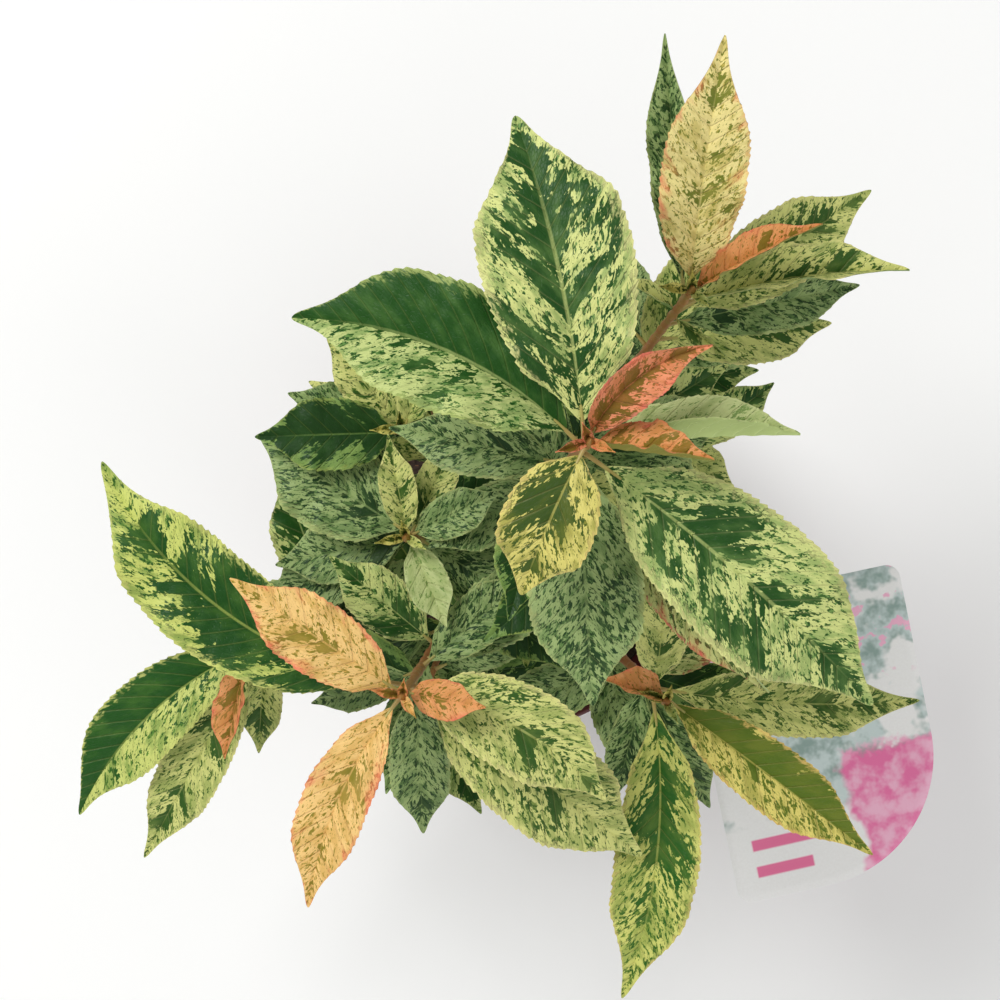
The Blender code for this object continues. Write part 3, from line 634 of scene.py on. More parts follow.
def pot_material():
    """Thin moulded plastic, dark maroon, with a faint grain, dust low down and faint scuffs."""
    n = Nodes("pot_plastic")
    where = n.place()
    height = n.node("ShaderNodeSeparateXYZ", Vector=where).outputs[2]
    cloud = n.noise(where, 22.0, 4.0, 0.6)
    grain = n.noise(where, 1400.0)
    scuff = n.noise(n.place((1.0, 1.0, 0.08)), 160.0, 3.0)
    dust = n.times(n.ramp(height, 0.05, 0.0), n.ramp(cloud, 0.35, 0.7))
    dust = n.plus(n.times(dust, 0.5), n.times(n.ramp(scuff, 0.60, 0.75), 0.25))
    colour = n.mix(dust, n.mix(cloud, (70, 24, 26), (92, 32, 32)), (120, 96, 82))
    n.bump(n.scaled(grain, 0.4, cloud), 0.0002, 0.5)
    return n.finish(colour, n.scaled(dust, 0.35, 0.38))


def compost_material():
    """Dark moist peat with browner fibres."""
    n = Nodes("compost")
    grain = n.noise(n.place(), 420.0, 5.0, 0.7)
    fibre = n.noise(n.place(), 130.0, 4.0, 0.65)
    colour = n.mix(grain, (22, 16, 12), (66, 46, 32))
    colour = n.mix(n.ramp(fibre, 0.58, 0.72), colour, (98, 66, 42))
    n.bump(n.plus(grain, fibre), 0.0012, 1.0)
    return n.finish(colour, n.scaled(grain, 0.2, 0.75))


def crumb_material(name, dark, light):
    """Bark crumbs that lie on the compost."""
    n = Nodes(name)
    grain = n.noise(n.place(), 500.0, 4.0, 0.7)
    n.bump(grain, 0.0006, 0.9)
    return n.finish(n.mix(grain, dark, light), n.scaled(grain, 0.2, 0.7))


def card_material():
    """Coated card: white, washed with soft rose and sage patches, and two plain rose bars."""
    n = Nodes("card")
    across, below, _, where = n.attribute("card")
    tooth = n.noise(n.place(), 900.0)
    wash = n.noise(where, 3.0, 4.0, 0.6)
    fine = n.noise(where, 9.0, 3.0, 0.6)
    white = n.mix(tooth, (240, 238, 236), (250, 249, 248))
    rose = n.mix(n.ramp(fine, 0.38, 0.64), (238, 112, 168), (248, 186, 212))
    sage = n.mix(n.ramp(fine, 0.36, 0.60), (142, 166, 158), (206, 220, 218))
    upper = n.ramp(below, 1.04, 0.98)
    colour = n.mix(n.times(upper, n.ramp(wash, 0.45, 0.53)), white, sage)
    spots = n.times(n.ramp(below, 0.50, 0.42), n.ramp(fine, 0.55, 0.60))
    colour = n.mix(spots, colour, rose)
    rightward = n.ramp(n.scaled(wash, 0.30, across), 0.72, 0.76)
    downward = n.ramp(n.scaled(fine, 0.20, below), 0.86, 0.90)
    colour = n.mix(n.times(rightward, downward), colour, rose)
    for top, end in ((1.08, 0.44), (1.20, 0.36)):
        level = n.times(n.ramp(below, top, top + 0.01), n.ramp(below, top + 0.06, top + 0.05))
        run = n.times(n.ramp(across, 0.10, 0.11), n.ramp(across, end + 0.01, end))
        colour = n.mix(n.times(level, run), colour, (236, 112, 158))
    n.bump(tooth, 0.00005, 0.3)
    return n.finish(colour, 0.32, Coat_Weight=0.2, Coat_Roughness=0.2)


def strap_material():
    """The label's strap: plain off-white card."""
    n = Nodes("strap")
    cloud = n.noise(n.place(), 120.0, 3.0)
    n.bump(cloud, 0.0001, 0.4)
    return n.finish(n.mix(cloud, (226, 224, 220), (240, 239, 236)), 0.4)


def floor_material():
    """The studio's white floor."""
    n = Nodes("studio_floor")
    cloud = n.noise(n.place(), 3.0, 3.0)
    return n.finish(n.mix(cloud, (252, 252, 251), (255, 255, 254)), 0.9)


def unit(vector):
    vector = np.asarray(vector, float)
    return vector / np.linalg.norm(vector)


def heading_vector(degrees):
    return np.array((math.cos(math.radians(degrees)), math.sin(math.radians(degrees)), 0))


def turns(sides):
    """The angles of a ring's points."""
    return np.arange(sides) * 2 * math.pi / sides


def bend(start, control, end, count=LIMB_POINTS):
    """Points of a quadratic curve from start to end, pulled towards control."""
    s = np.linspace(0, 1, count)[:, None]
    start, control, end = (np.asarray(p, float) for p in (start, control, end))
    return (1 - s) ** 2 * start + 2 * s * (1 - s) * control + s ** 2 * end


def point_at(path, share):
    """The point at a share of a path's points."""
    shares = np.linspace(0, 1, len(path))
    return np.array([np.interp(share, shares, path[:, i]) for i in range(3)])


def tube_rings(path, radii, sides):
    """Rings of a round limb: each radius turned about its point, square to the path.

    radii has one number for each point, or one for each point and side.
    """
    path = np.asarray(path, float)
    tangents = np.gradient(path, axis=0)
    tangents /= np.linalg.norm(tangents, axis=1)[:, None]
    ups = [unit(np.cross(tangents[0], RING_START))]
    for tangent in tangents[1:]:
        ups.append(unit(ups[-1] - tangent * np.dot(ups[-1], tangent)))
    ups = np.array(ups)
    sideways = np.cross(tangents, ups)
    turn = turns(sides)[None, :, None]
    circle = np.cos(turn) * ups[:, None] + np.sin(turn) * sideways[:, None]
    radii = np.asarray(radii, float)
    if radii.ndim == 1:
        radii = radii[:, None]
    return path[:, None] + circle * radii[:, :, None]


def ring_faces(count, sides):
    """Quads that join each ring to the next, as an array of point numbers."""
    i, j = np.meshgrid(np.arange(count - 1), np.arange(sides), indexing="ij")
    k = (j + 1) % sides
    quads = np.stack([i * sides + j, i * sides + k, (i + 1) * sides + k, (i + 1) * sides + j], -1)
    return quads.reshape(-1, 4)


def end_fans(count, sides):
    """Triangles that close the first and last ring about the two points that follow the rings."""
    j = np.arange(sides)
    k = (j + 1) % sides
    last = (count - 1) * sides
    start = np.stack([k, j, np.full(sides, count * sides), k], -1)
    end = np.stack([last + j, last + k, np.full(sides, count * sides + 1), last + j], -1)
    return np.concatenate([start, end])


class Heap:
    """Points, faces, material numbers and attributes of many shapes, gathered into one mesh.

    A triangle is a quad whose last corner repeats the first.
    """

    def __init__(self):
        self.points = []
        self.quads = []
        self.finishes = []
        self.fields = {}
        self.maps = []
        self.count = 0

    def add(self, points, quads, finishes=0, fields=None, corners=None):
        self.points.append(np.asarray(points, float).reshape(-1, 3))
        self.quads.append(np.asarray(quads) + self.count)
        self.finishes.append(np.broadcast_to(finishes, len(quads)))
        for name, values in (fields or {}).items():
            self.fields.setdefault(name, []).append(np.asarray(values, float).reshape(-1, 3))
        if corners is not None:
            self.maps.append(np.asarray(corners, float).reshape(-1, 2))
        self.count += len(self.points[-1])

    def piece(self, name, materials, node, smooth):
        """The mesh as a shown piece that stands for a CAD node, smooth up to an angle."""
        points = np.concatenate(self.points)
        quads = np.concatenate(self.quads)
        three = quads[:, 3] == quads[:, 0]
        sizes = np.where(three, 3, 4)
        used = np.ones(quads.shape, bool)
        used[three, 3] = False
        mesh = bpy.data.meshes.new(name)
        mesh.vertices.add(len(points))
        mesh.vertices.foreach_set("co", points.astype(np.float32).ravel())
        mesh.loops.add(int(sizes.sum()))
        mesh.loops.foreach_set("vertex_index", quads[used].astype(np.int32))
        mesh.polygons.add(len(quads))
        mesh.polygons.foreach_set("loop_start", (np.cumsum(sizes) - sizes).astype(np.int32))
        for mat in materials:
            mesh.materials.append(mat)
        finishes = np.concatenate(self.finishes)
        mesh.polygons.foreach_set("material_index", finishes.astype(np.int32))
        if self.maps:
            corners = np.concatenate(self.maps).reshape(-1, 4, 2)[used]
            layer = mesh.uv_layers.new(name="OFBake")
            layer.data.foreach_set("uv", corners.astype(np.float32).ravel())
        mesh.update(calc_edges=True)
        for field, values in self.fields.items():
            store = mesh.attributes.new(field, "FLOAT_VECTOR", "POINT")
            store.data.foreach_set("vector", np.concatenate(values).astype(np.float32).ravel())
        mesh.validate()
        mesh.shade_smooth()
        mesh.set_sharp_from_angle(angle=math.radians(smooth))
        obj = bpy.data.objects.new(name, mesh)
        bpy.context.scene.collection.objects.link(obj)
        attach(obj, "root")
        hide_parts(node)
        return obj


def search_tree(points, faces):
    return BVHTree.FromPolygons([tuple(p) for p in points], faces)


def loft(rings, apex=None):
    """Points and faces of a plain body through rings, as the model's source makes it."""
    count, sides = rings.shape[:2]
    points = list(rings.reshape(-1, 3))
    faces = [tuple(q) for q in ring_faces(count, sides).tolist()]
    faces.append(tuple(range(sides))[::-1])
    last = (count - 1) * sides
    if apex is None:
        faces.append(tuple(last + j for j in range(sides)))
    else:
        points.append(apex)
        faces += [(last + j, last + (j + 1) % sides, len(points) - 1) for j in range(sides)]
    return points, faces


def trunk_path(count=LIMB_POINTS):
    foot = np.array((0.0, 0.0, SOIL_TOP + GAP))
    top = np.array(TRUNK_TOP)
    return bend(foot, (foot + top) / 2 + TRUNK_BOW, top, count)


def shoot_path(spec, count=LIMB_POINTS):
    foot = np.array(spec["foot"]) * MM
    tip = np.array(spec["tip"]) * MM
    return bend(foot, foot + (tip - foot) * (0.6, 0.6, 0.4), tip, count)


def bough_path(spec, count=LIMB_POINTS):
    """From the trunk to just short of the shoot, ending in the shoot's own direction."""
    trunk = trunk_path()
    root = [np.interp(spec["root"] * MM, trunk[:, 2], trunk[:, i]) for i in range(3)]
    shoot = shoot_path(spec)
    way = unit(shoot[1] - shoot[0])
    end = shoot[0] - way * GAP
    return bend(root, end - way * np.linalg.norm(end - root) * 0.45, end, count)


def twig_path(stem, place, heading, length, count=LIMB_POINTS):
    """A side twig: out from the stem, then curving upwards."""
    root = point_at(stem, place)
    out = heading_vector(heading) * length * MM
    rise = np.array((0, 0, length * MM))
    return bend(root, root + out * 0.5 + rise * 0.25, root + out * 0.75 + rise * 0.75, count)


def flank(s):
    """Half width of a blade without its tip, as a share of its widest.

    It is s over WIDEST_AT to the power FLANK_POWER, times 1 less s over 1 less WIDEST_AT to
    the power that puts the widest place there.
    """
    fall = FLANK_POWER * (1 - WIDEST_AT) / WIDEST_AT
    return (s / WIDEST_AT) ** FLANK_POWER * ((1 - s) / (1 - WIDEST_AT)) ** fall


def blade_share(s):
    """The model's outline: the flanks, pinched before the tip by a bell curve."""
    s = np.clip(np.asarray(s, float), 0, 1)
    return flank(s) * (1 - TIP_PINCH * np.exp(-((s - TIP_PINCH_AT) / TIP_PINCH_SPAN) ** 2))


def eased(s):
    """0 up to 0 and 1 from 1, by three s squared less two s cubed between."""
    s = np.clip(s, 0, 1)
    return s ** 2 * (3 - 2 * s)


def fine_outline(s):
    """The flanks times an eased wedge at the base and an eased fall to a drawn-out tip."""
    drawn = 1 - TIP_DRAWN * eased((s - TIP_FROM) / TIP_SPAN)
    return flank(s) * drawn * (BASE_WIDTH + (1 - BASE_WIDTH) * eased(s / BASE_SPAN))


def leaf_spine(root, leaf, share):
    """The spine's points, sides and ups at shares of a leaf's whole length.

    The pitch falls evenly from rise to rise minus arch and the heading swings evenly through
    its middle value; the roll then turns side and up about the way ahead.
    """
    s = np.linspace(0, 1, SPINE_SAMPLES)
    pitch = np.radians(leaf.rise - leaf.arch * s)
    course = np.radians(leaf.heading + leaf.swing * (s - 0.5))
    way = np.stack([np.cos(pitch) * np.cos(course), np.cos(pitch) * np.sin(course), np.sin(pitch)], 1)
    step = (way[1:] + way[:-1]) / 2 * (leaf.length * MM / (SPINE_SAMPLES - 1))
    spine = np.vstack([np.zeros(3), np.cumsum(step, axis=0)]) + np.asarray(root)
    at = np.stack([np.interp(share, s, spine[:, i]) for i in range(3)], 1)
    ahead = np.stack([np.interp(share, s, way[:, i]) for i in range(3)], 1)
    ahead /= np.linalg.norm(ahead, axis=1)[:, None]
    turn = np.interp(share, s, course)
    side = np.stack([-np.sin(turn), np.cos(turn), np.zeros_like(turn)], 1)
    up = np.cross(ahead, side)
    level, tilted = math.cos(math.radians(leaf.roll)), math.sin(math.radians(leaf.roll))
    return at, side * level + up * tilted, up * level - side * tilted


def plain_leaf(root, leaf, stations):
    """The model's own four-cornered rings of a leaf, for finding its room."""
    blade = np.array(stations)
    share = np.concatenate([[0.0, STALK_SHARE / 2], STALK_SHARE + (1 - STALK_SHARE) * blade])
    at, side, up = leaf_spine(root, leaf, share)
    half = np.maximum(blade_share(blade) * leaf.width * MM / 2, STALK_RADIUS)
    half = np.concatenate([[STALK_RADIUS] * 2, half])[:, None]
    thick = max(LEAF_THICKNESS * leaf.length * MM, LEAF_THINNEST) / 2
    depth = np.concatenate([[STALK_RADIUS] * 2, thick * (1 - BLADE_THINNING * blade)])[:, None]
    lifted = (np.clip(share / STALK_SHARE - 0.5, 0, 1) * math.radians(leaf.fold))[:, None]
    across, lift = side * half * np.cos(lifted), up * half * np.sin(lifted)
    rings = np.stack([at + across + lift, at + up * depth, at - across + lift, at - up * depth], 1)
    return rings[:-1], at[-1]


def spiral_leaves(count, heading, seed, span, lengths):
    """Leaves in a golden-angle spiral up a stem, each a little different."""
    chance = random.Random(seed)
    for i in range(count):
        place = span[0] + (span[1] - span[0]) * i / max(count - 1, 1)
        length = chance.uniform(*lengths)
        yield Leaf(
            place=place,
            heading=heading + GOLDEN_ANGLE * i + chance.uniform(-SPIRAL_SCATTER, SPIRAL_SCATTER),
            length=length,
            width=length * chance.uniform(*SPIRAL_WIDTH_SHARE),
            rise=chance.uniform(*SPIRAL_RISE),
            arch=chance.uniform(*SPIRAL_ARCH),
            swing=chance.uniform(-SPIRAL_SWING, SPIRAL_SWING),
            roll=chance.uniform(-SPIRAL_ROLL, SPIRAL_ROLL),
            fold=chance.uniform(*SPIRAL_FOLD),
        )


class Growth:
    """The twigs and leaves that found room, by the model's rule and in its order."""

    def __init__(self):
        self.placed = []
        self.leaves = []
        self.twigs = []
        self.stems = {name: shoot_path(spec) for name, spec in SHOOTS.items()}
        for spec in SHOOTS.values():
            radii = np.linspace(BOUGH_ROOT_RADIUS, BOUGH_TIP_RADIUS, LIMB_POINTS)
            tree = search_tree(*loft(tube_rings(bough_path(spec), radii, BOUGH_SIDES)))
            self.placed.append(("limbs", tree, tree))
        for name, stem in self.stems.items():
            radii = np.linspace(BOUGH_TIP_RADIUS, SHOOT_TIP_RADIUS, LIMB_POINTS)
            bud = stem[-1] + unit(stem[-1] - stem[-2]) * BUD_LENGTH
            tree = search_tree(*loft(tube_rings(stem, radii, SHOOT_SIDES), bud))
            self.placed.append((name, tree, tree))

    def has_room(self, shoot, rings, tip, outer_tip):
        """Whether a body through rings is clear; if so it is noted as placed.

        Only its outer part, from the fourth ring on, stays clear of its own shoot.
        """
        outer = search_tree(*loft(rings[3:], outer_tip))
        whole = search_tree(*loft(rings, tip))
        for owner, other_outer, other_whole in self.placed:
            if outer.overlap(other_outer) if owner == shoot else whole.overlap(other_whole):
                return False
        self.placed.append((shoot, outer, whole))
        return True

    def grow_leaf(self, shoot, stem, leaf, colouring, stations=BLADE_STATIONS, tries=1):
        """Place a leaf, turned aside step by step while it touches something."""
        root = point_at(stem, leaf.place)
        for i in range(tries):
            turned = leaf._replace(heading=leaf.heading + SIDE_STEP * i)
            rings, tip = plain_leaf(root, turned, stations)
            if self.has_room(shoot, rings, tip, tip):
                self.leaves.append((shoot, colouring, root, turned))
                return

    def grow_lower_leaves(self, shoot, stem, first, leaves):
        """Place leaves of a spiral, with the lower colourings in turn from the first given."""
        for i, leaf in enumerate(leaves):
            colouring = LOWER_COLOURINGS[(i + first) % len(LOWER_COLOURINGS)]
            self.grow_leaf(shoot, stem, leaf, colouring, LOWER_STATIONS, SIDE_TRIES)

    def grow_twig(self, shoot, place, heading, length):
        """Place a side twig with its leaves."""
        stem = self.stems[shoot]
        path = twig_path(stem, place, heading, length)
        radii = np.linspace(TWIG_ROOT_RADIUS, TWIG_TIP_RADIUS, LIMB_POINTS)
        bud = path[-1] + unit(path[-1] - path[-2]) * BUD_LENGTH / 2
        if not self.has_room(shoot, tube_rings(path, radii, TWIG_SIDES), bud, None):
            return
        self.twigs.append((shoot, twig_path(stem, place, heading, length, FINE_TWIG_POINTS)))
        spiral = spiral_leaves(TWIG_LEAVES, heading, length, TWIG_LEAF_SPAN, TWIG_LEAF_LENGTH)
        self.grow_lower_leaves(shoot, path, 1, spiral)

    def grow_bud_leaves(self, shoot, heading):
        """Small steep leaves about the shoot's tip, which need no room of their own."""
        colourings = BUD_COLOURINGS.get(shoot, PLAIN_BUDS)
        for i in range(BUD_LEAVES):
            leaf = Leaf(
                place=1.0, heading=heading + GOLDEN_ANGLE * i, length=BUD_LEAF_LENGTH - 2 * i,
                width=BUD_LEAF_LENGTH / 3, rise=54 + 9 * i, arch=24, swing=0, roll=0, fold=40,
            )
            self.leaves.append((shoot, colourings[i % 2], self.stems[shoot][-1], leaf))


def grow_shoots():
    """Leaves as (shoot, colouring, root, leaf) and twigs as (shoot, path)."""
    growth = Growth()
    for name, spec in SHOOTS.items():
        for *row, colouring in spec["leaves"]:
            growth.grow_leaf(name, growth.stems[name], Leaf(*row), colouring)
    for name, spec in SHOOTS.items():
        for twig in spec["twigs"]:
            growth.grow_twig(name, *twig)
    for name, spec in SHOOTS.items():
        spiral = spiral_leaves(*spec["spiral"], SPIRAL_SPAN, SPIRAL_LENGTH)
        growth.grow_lower_leaves(name, growth.stems[name], spec["root"], spiral)
    for name, spec in SHOOTS.items():
        growth.grow_bud_leaves(name, spec["root"])
    return growth.leaves, growth.twigs


def fine_blade(root, leaf, number):
    """A leaf's blade as closed rings: over the top from left to right, and back underneath.

    At each station along the spine the half width is the outline's share of the width, cut
    into forward-leaning teeth at the margin. A point at share v of the half width lies at
    side times v times the half width, lifted by the fold, dropped at the margin by a recurve
    of v squared, waved by a sine that grows with v cubed, and pressed in along the midrib and
    the side veins, which leave it at 45 degrees, with soft pleats between them. The underside
    is the same surface a leaf's thickness lower, with the midrib as a keel. Each leaf's number
    seeds its waves and teeth.
    """
    chance = np.random.default_rng(number)
    width = leaf.width * MM
    run = leaf.length * MM * (1 - BLADE_START)
    teeth = max(int(run / TOOTH_PITCH), LEAST_TEETH)
    count = teeth * POINTS_PER_TOOTH + 1
    blade = np.linspace(0, 1, count)
    at, side, up = leaf_spine(root, leaf, BLADE_START + (1 - BLADE_START) * blade)
    fullness = chance.uniform(*FULLNESS)
    half = np.maximum(fine_outline(blade ** fullness) * width / 2, LEAST_HALF_WIDTH)
    size = half[:, None] / (width / 2)
    tooth = 1 - (np.arange(count) % POINTS_PER_TOOTH) / POINTS_PER_TOOTH
    vigour = np.repeat(chance.uniform(*TOOTH_VIGOUR, teeth + 1), POINTS_PER_TOOTH)[:count]
    bite = TOOTH_DEPTH * tooth * vigour * np.clip(half / FULL_TOOTH_AT, 0, 1) * (blade > TOOTH_FROM)

    v = np.concatenate([-np.array(ACROSS[:0:-1]), ACROSS])[::-1]
    reach = np.abs(v)
    at_margin = reach == 1
    wide = half[:, None] * v - np.where(at_margin, np.sign(v), 0) * bite[:, None]
    flat = np.abs(wide)
    s = blade[:, None]
    waves = chance.uniform(*WAVE_COUNT)
    phase = chance.uniform(0, 2 * math.pi, 2)
    sway = np.sin(2 * math.pi * waves * s + np.where(v > 0, phase[0], phase[1]))
    swell = 0.5 + 0.5 * np.sin(2 * math.pi * (waves * 0.37 * s + phase[1]))
    ripple = WAVE_HEIGHT * width * sway * swell * reach ** 3 * size
    recurve = -RECURVE * flat * reach ** 2
    lane = (s * run - flat) / VEIN_PITCH
    vein = np.exp(-((lane % 1 - 0.5) / VEIN_WIDTH) ** 2)
    pressed = -VEIN_DEPTH * vein * (1 - reach ** 4) * np.clip(reach * 5, 0, 1) * size
    pleat = PLEAT_HEIGHT * np.cos(2 * math.pi * lane) * (1 - reach ** 2) * size
    channel = -MIDRIB_DEPTH * np.exp(-(wide / MIDRIB_WIDTH) ** 2)
    fold = math.radians(leaf.fold)
    lift = flat * math.sin(fold) + recurve + ripple + pressed + pleat + channel
    spread = wide * math.cos(fold)
    surface = at[:, None] + side[:, None] * spread[..., None] + up[:, None] * lift[..., None]

    thin = PAPER * np.where(at_margin, 0, 1)
    keel = KEEL_DEPTH * np.exp(-(v * half[:, None] / KEEL_WIDTH) ** 2) * (1 - 0.7 * s)
    below = surface - up[:, None] * (thin + keel)[..., None]
    rings = np.concatenate([surface, below[:, -2:0:-1]], 1)
    ring_v = np.concatenate([v, v[-2:0:-1]])
    ring_wide = np.concatenate([wide, wide[:, -2:0:-1]], 1)
    return rings, blade, ring_v, ring_wide, run


def blade_map(count, sides, rectangle):
    """Where the blade's quads lie in the bake's map: the top in the left half of a rectangle,
    the underside in the right half, and the two ends in a corner."""
    x0, y0, x1, y1 = rectangle
    middle = (x0 + x1) / 2
    pad = (x1 - x0) * 0.02
    row = np.repeat(np.arange(count - 1), sides)
    column = np.tile(np.arange(sides), count - 1)
    ahead = np.stack([row, row, row + 1, row + 1], -1) / (count - 1)
    step = np.stack([column, column + 1, column + 1, column], -1)
    behind = column[:, None] >= TOP_COLUMNS
    share = np.where(behind, (step - TOP_COLUMNS) / (sides - TOP_COLUMNS), step / TOP_COLUMNS)
    left = np.where(behind, middle + pad, x0 + pad)
    right = np.where(behind, x1 - pad, middle - pad)
    corners = np.stack([left + (right - left) * share, y0 + pad + (y1 - y0 - 2 * pad) * ahead], -1)
    ends = np.full((sides, 4, 2), (x0 + pad, y0 + pad))
    ends[:, 1, 0] += pad * 0.2
    ends[:, 2, 1] += pad * 0.2
    return np.concatenate([corners, ends])


def blade_ends(count, sides):
    """Faces across the flat first and last ring, from each top point to the one below it.

    The last quad of a strip names the margin's point twice, and the heap's validate drops it.
    """
    j = np.arange(1, sides // 2)
    strip = np.stack([j, j + 1, sides - j - 1, sides - j], -1)
    strip = np.vstack([strip, [0, 1, sides - 1, 0]])
    back = np.vstack([strip[:-1, ::-1], [0, sides - 1, 1, 0]])
    return np.concatenate([back, strip + (count - 1) * sides])


def add_leaf(heap, root, leaf, number, rectangle):
    """One blade into a heap, with its fields and its rectangle of the bake's map."""
    rings, blade, v, wide, run = fine_blade(root, leaf, number)
    count, sides = wide.shape
    quads = np.concatenate([ring_faces(count, sides), blade_ends(count, sides)])
    finishes = np.zeros(len(quads), int)
    finishes[:(count - 1) * sides] = np.tile(np.arange(sides) >= TOP_COLUMNS, count - 1)
    station = np.broadcast_to(blade[:, None], wide.shape)
    lane = (station * run - np.abs(wide)) / FIELD_UNIT
    vein = np.stack([lane, wide / FIELD_UNIT, np.full(wide.shape, number * LEAF_NUMBER_STEP)], -1)
    place = np.stack([station, np.broadcast_to(v, wide.shape), np.zeros(wide.shape)], -1)
    heap.add(rings, quads, finishes, {"vein": vein, "blade": place}, blade_map(count, sides, rectangle))


def atlas(count):
    """Equal rectangles of the unit square, in rows, one for each leaf."""
    columns = math.ceil(math.sqrt(count))
    rows = math.ceil(count / columns)
    for i in range(count):
        x, y = i % columns, i // columns
        yield (x / columns, y / rows, (x + 1) / columns, (y + 1) / rows)


def build_leaves(leaves):
    """Blades of one shoot and one colouring are one piece."""
    tops = {name: leaf_top(name, look) for name, look in COLOURINGS.items()}
    unders = {name: leaf_underside(name, *colours) for name, colours in UNDERSIDES.items()}
    groups = {}
    for number, (shoot, colouring, root, leaf) in enumerate(leaves, 1):
        groups.setdefault((shoot, colouring), []).append((root, leaf, number))
    for (shoot, colouring), members in groups.items():
        heap = Heap()
        for member, rectangle in zip(members, atlas(len(members))):
            add_leaf(heap, *member, rectangle)
        materials = [tops[colouring], unders[COLOURINGS[colouring].underside]]
        heap.piece(f"leaves_{shoot}_{colouring}", materials, "foliage_" + shoot, 50)


def add_tube(heap, path, radii, sides, age):
    """A closed tube into a heap, with a field that runs along it: the wood's age, from 0 at the
    trunk's foot to 1 at the shoots' tips, or a stalk's share of its length."""
    points = np.vstack([tube_rings(path, radii, sides).reshape(-1, 3), path[0], path[-1]])
    quads = np.concatenate([ring_faces(len(path), sides), end_fans(len(path), sides)])
    limb = np.zeros((len(points), 3))
    limb[:, 0] = np.concatenate([np.repeat(age, sides), [age[0], age[-1]]])
    heap.add(points, quads, 0, {"limb": limb})


def knobbly(count, sides, seed, size):
    """Bark relief: a sum of sines round and along a limb, with random phases."""
    chance = np.random.default_rng(seed)
    s = np.linspace(0, 1, count)[:, None]
    relief = np.zeros((count, sides))
    for rounds, runs in ((1, 3), (2, 7), (3, 13), (5, 22), (4, 41)):
        phase = chance.uniform(0, 2 * math.pi, 2)
        around = np.sin(rounds * turns(sides) + phase[0])
        relief += around * np.sin(runs * 2 * math.pi * s + phase[1]) / (rounds + 1)
    return relief * size


def build_trunk(bark):
    """The trunk, tapering, flared by an exponential at its foot, and lobed there by a cosine."""
    heap = Heap()
    count, sides = TRUNK_GRID
    share = np.linspace(0, 1, count)
    radii = TRUNK_RADIUS + (TRUNK_TIP_RADIUS - TRUNK_RADIUS) * share
    radii = radii + (TRUNK_FLARE_RADIUS - TRUNK_RADIUS) * np.exp(-share / TRUNK_FLARE_SHARE)
    around = np.cos(LOBE_COUNT * turns(sides) + 1.0)
    lobes = 1 + LOBE_DEPTH * np.exp(-share / LOBE_SPAN)[:, None] * around
    radii = radii[:, None] * lobes + knobbly(count, sides, TRUNK_SEED, TRUNK_RELIEF)
    add_tube(heap, trunk_path(count), radii, sides, share * 0.1)
    heap.piece("trunk_bark", [bark], "trunk", 80)


def build_stem(number, name, leaves, twigs, bark):
    """A bough with its shoot's stem as one limb: a taper with a bell-shaped swelling where each
    leaf springs and a pointed bud at the tip, and the shoot's twigs beside it."""
    lower = bough_path(SHOOTS[name], FINE_BOUGH_POINTS)[:-1]
    upper = shoot_path(SHOOTS[name], FINE_SHOOT_POINTS)
    path = np.vstack([lower, upper])
    place = np.concatenate([np.zeros(len(lower)), np.linspace(0, 1, len(upper))])
    radii = np.concatenate([
        np.linspace(BOUGH_ROOT_RADIUS, BOUGH_TIP_RADIUS, FINE_BOUGH_POINTS)[:-1],
        np.linspace(BOUGH_TIP_RADIUS, SHOOT_TIP_RADIUS, len(upper)),
    ])
    for shoot, _, _, leaf in leaves:
        if shoot == name:
            bell = np.exp(-((place - leaf.place) / LEAF_NODE_SHARE) ** 2)
            radii = radii + LEAF_NODE_RISE * bell * (place > 0)
    bud = np.linspace(0, 1, FINE_BUD_POINTS)[1:]
    path = np.vstack([path, path[-1] + unit(path[-1] - path[-2]) * BUD_LENGTH * bud[:, None]])
    swell = SHOOT_TIP_RADIUS * (1 + 0.55 * np.sin(math.pi * bud ** 0.8)) * (1 - bud ** 3 * 0.9)
    radii = np.concatenate([radii, swell])
    age = np.concatenate([
        np.linspace(0.05, 0.3, len(lower)), np.linspace(0.3, 1, len(upper)), np.ones(len(bud)),
    ])
    relief = knobbly(len(path), STEM_SIDES, STEM_SEED + number, STEM_RELIEF) * (1.2 - age)[:, None]
    heap = Heap()
    add_tube(heap, path, radii[:, None] + relief, STEM_SIDES, age)
    for shoot, twig in twigs:
        if shoot == name:
            radii = np.linspace(TWIG_ROOT_RADIUS, TWIG_TIP_RADIUS * 1.4, len(twig))
            add_tube(heap, twig, radii, FINE_TWIG_SIDES, np.linspace(0.6, 1, len(twig)))
    heap.piece("stem_" + name, [bark], "bough_" + name, 80)


def build_stalks(name, leaves, mat):
    """A leaf's stalk: a tapering tube from inside the stem to a little way under the blade,
    thickened by an exponential where it leaves the stem."""
    heap = Heap()
    s = np.linspace(0, 1, FINE_STALK_POINTS)
    for shoot, _, root, leaf in leaves:
        if shoot == name:
            at, _, up = leaf_spine(root, leaf, s * (BLADE_START + 0.05))
            radii = FINE_STALK_RADIUS * (1.25 - 0.55 * s + 0.5 * np.exp(-s / 0.08))
            radii = radii * min(1.0, leaf.length / GROWN_LENGTH)
            add_tube(heap, at - up * (radii * 0.9 * s)[:, None], radii, FINE_STALK_SIDES, s)
    heap.piece("stalks_" + name, [mat], "foliage_" + name, 80)


def pot_wall(height):
    """The pot's outer radius at a height: an even taper with a step out near the top."""
    slope = (POT_RIM_RADIUS - RIM_REACH - POT_FOOT_RADIUS - STEP_REACH) / POT_HEIGHT
    return POT_FOOT_RADIUS + slope * height + (STEP_REACH if height > STEP_HEIGHT else 0)


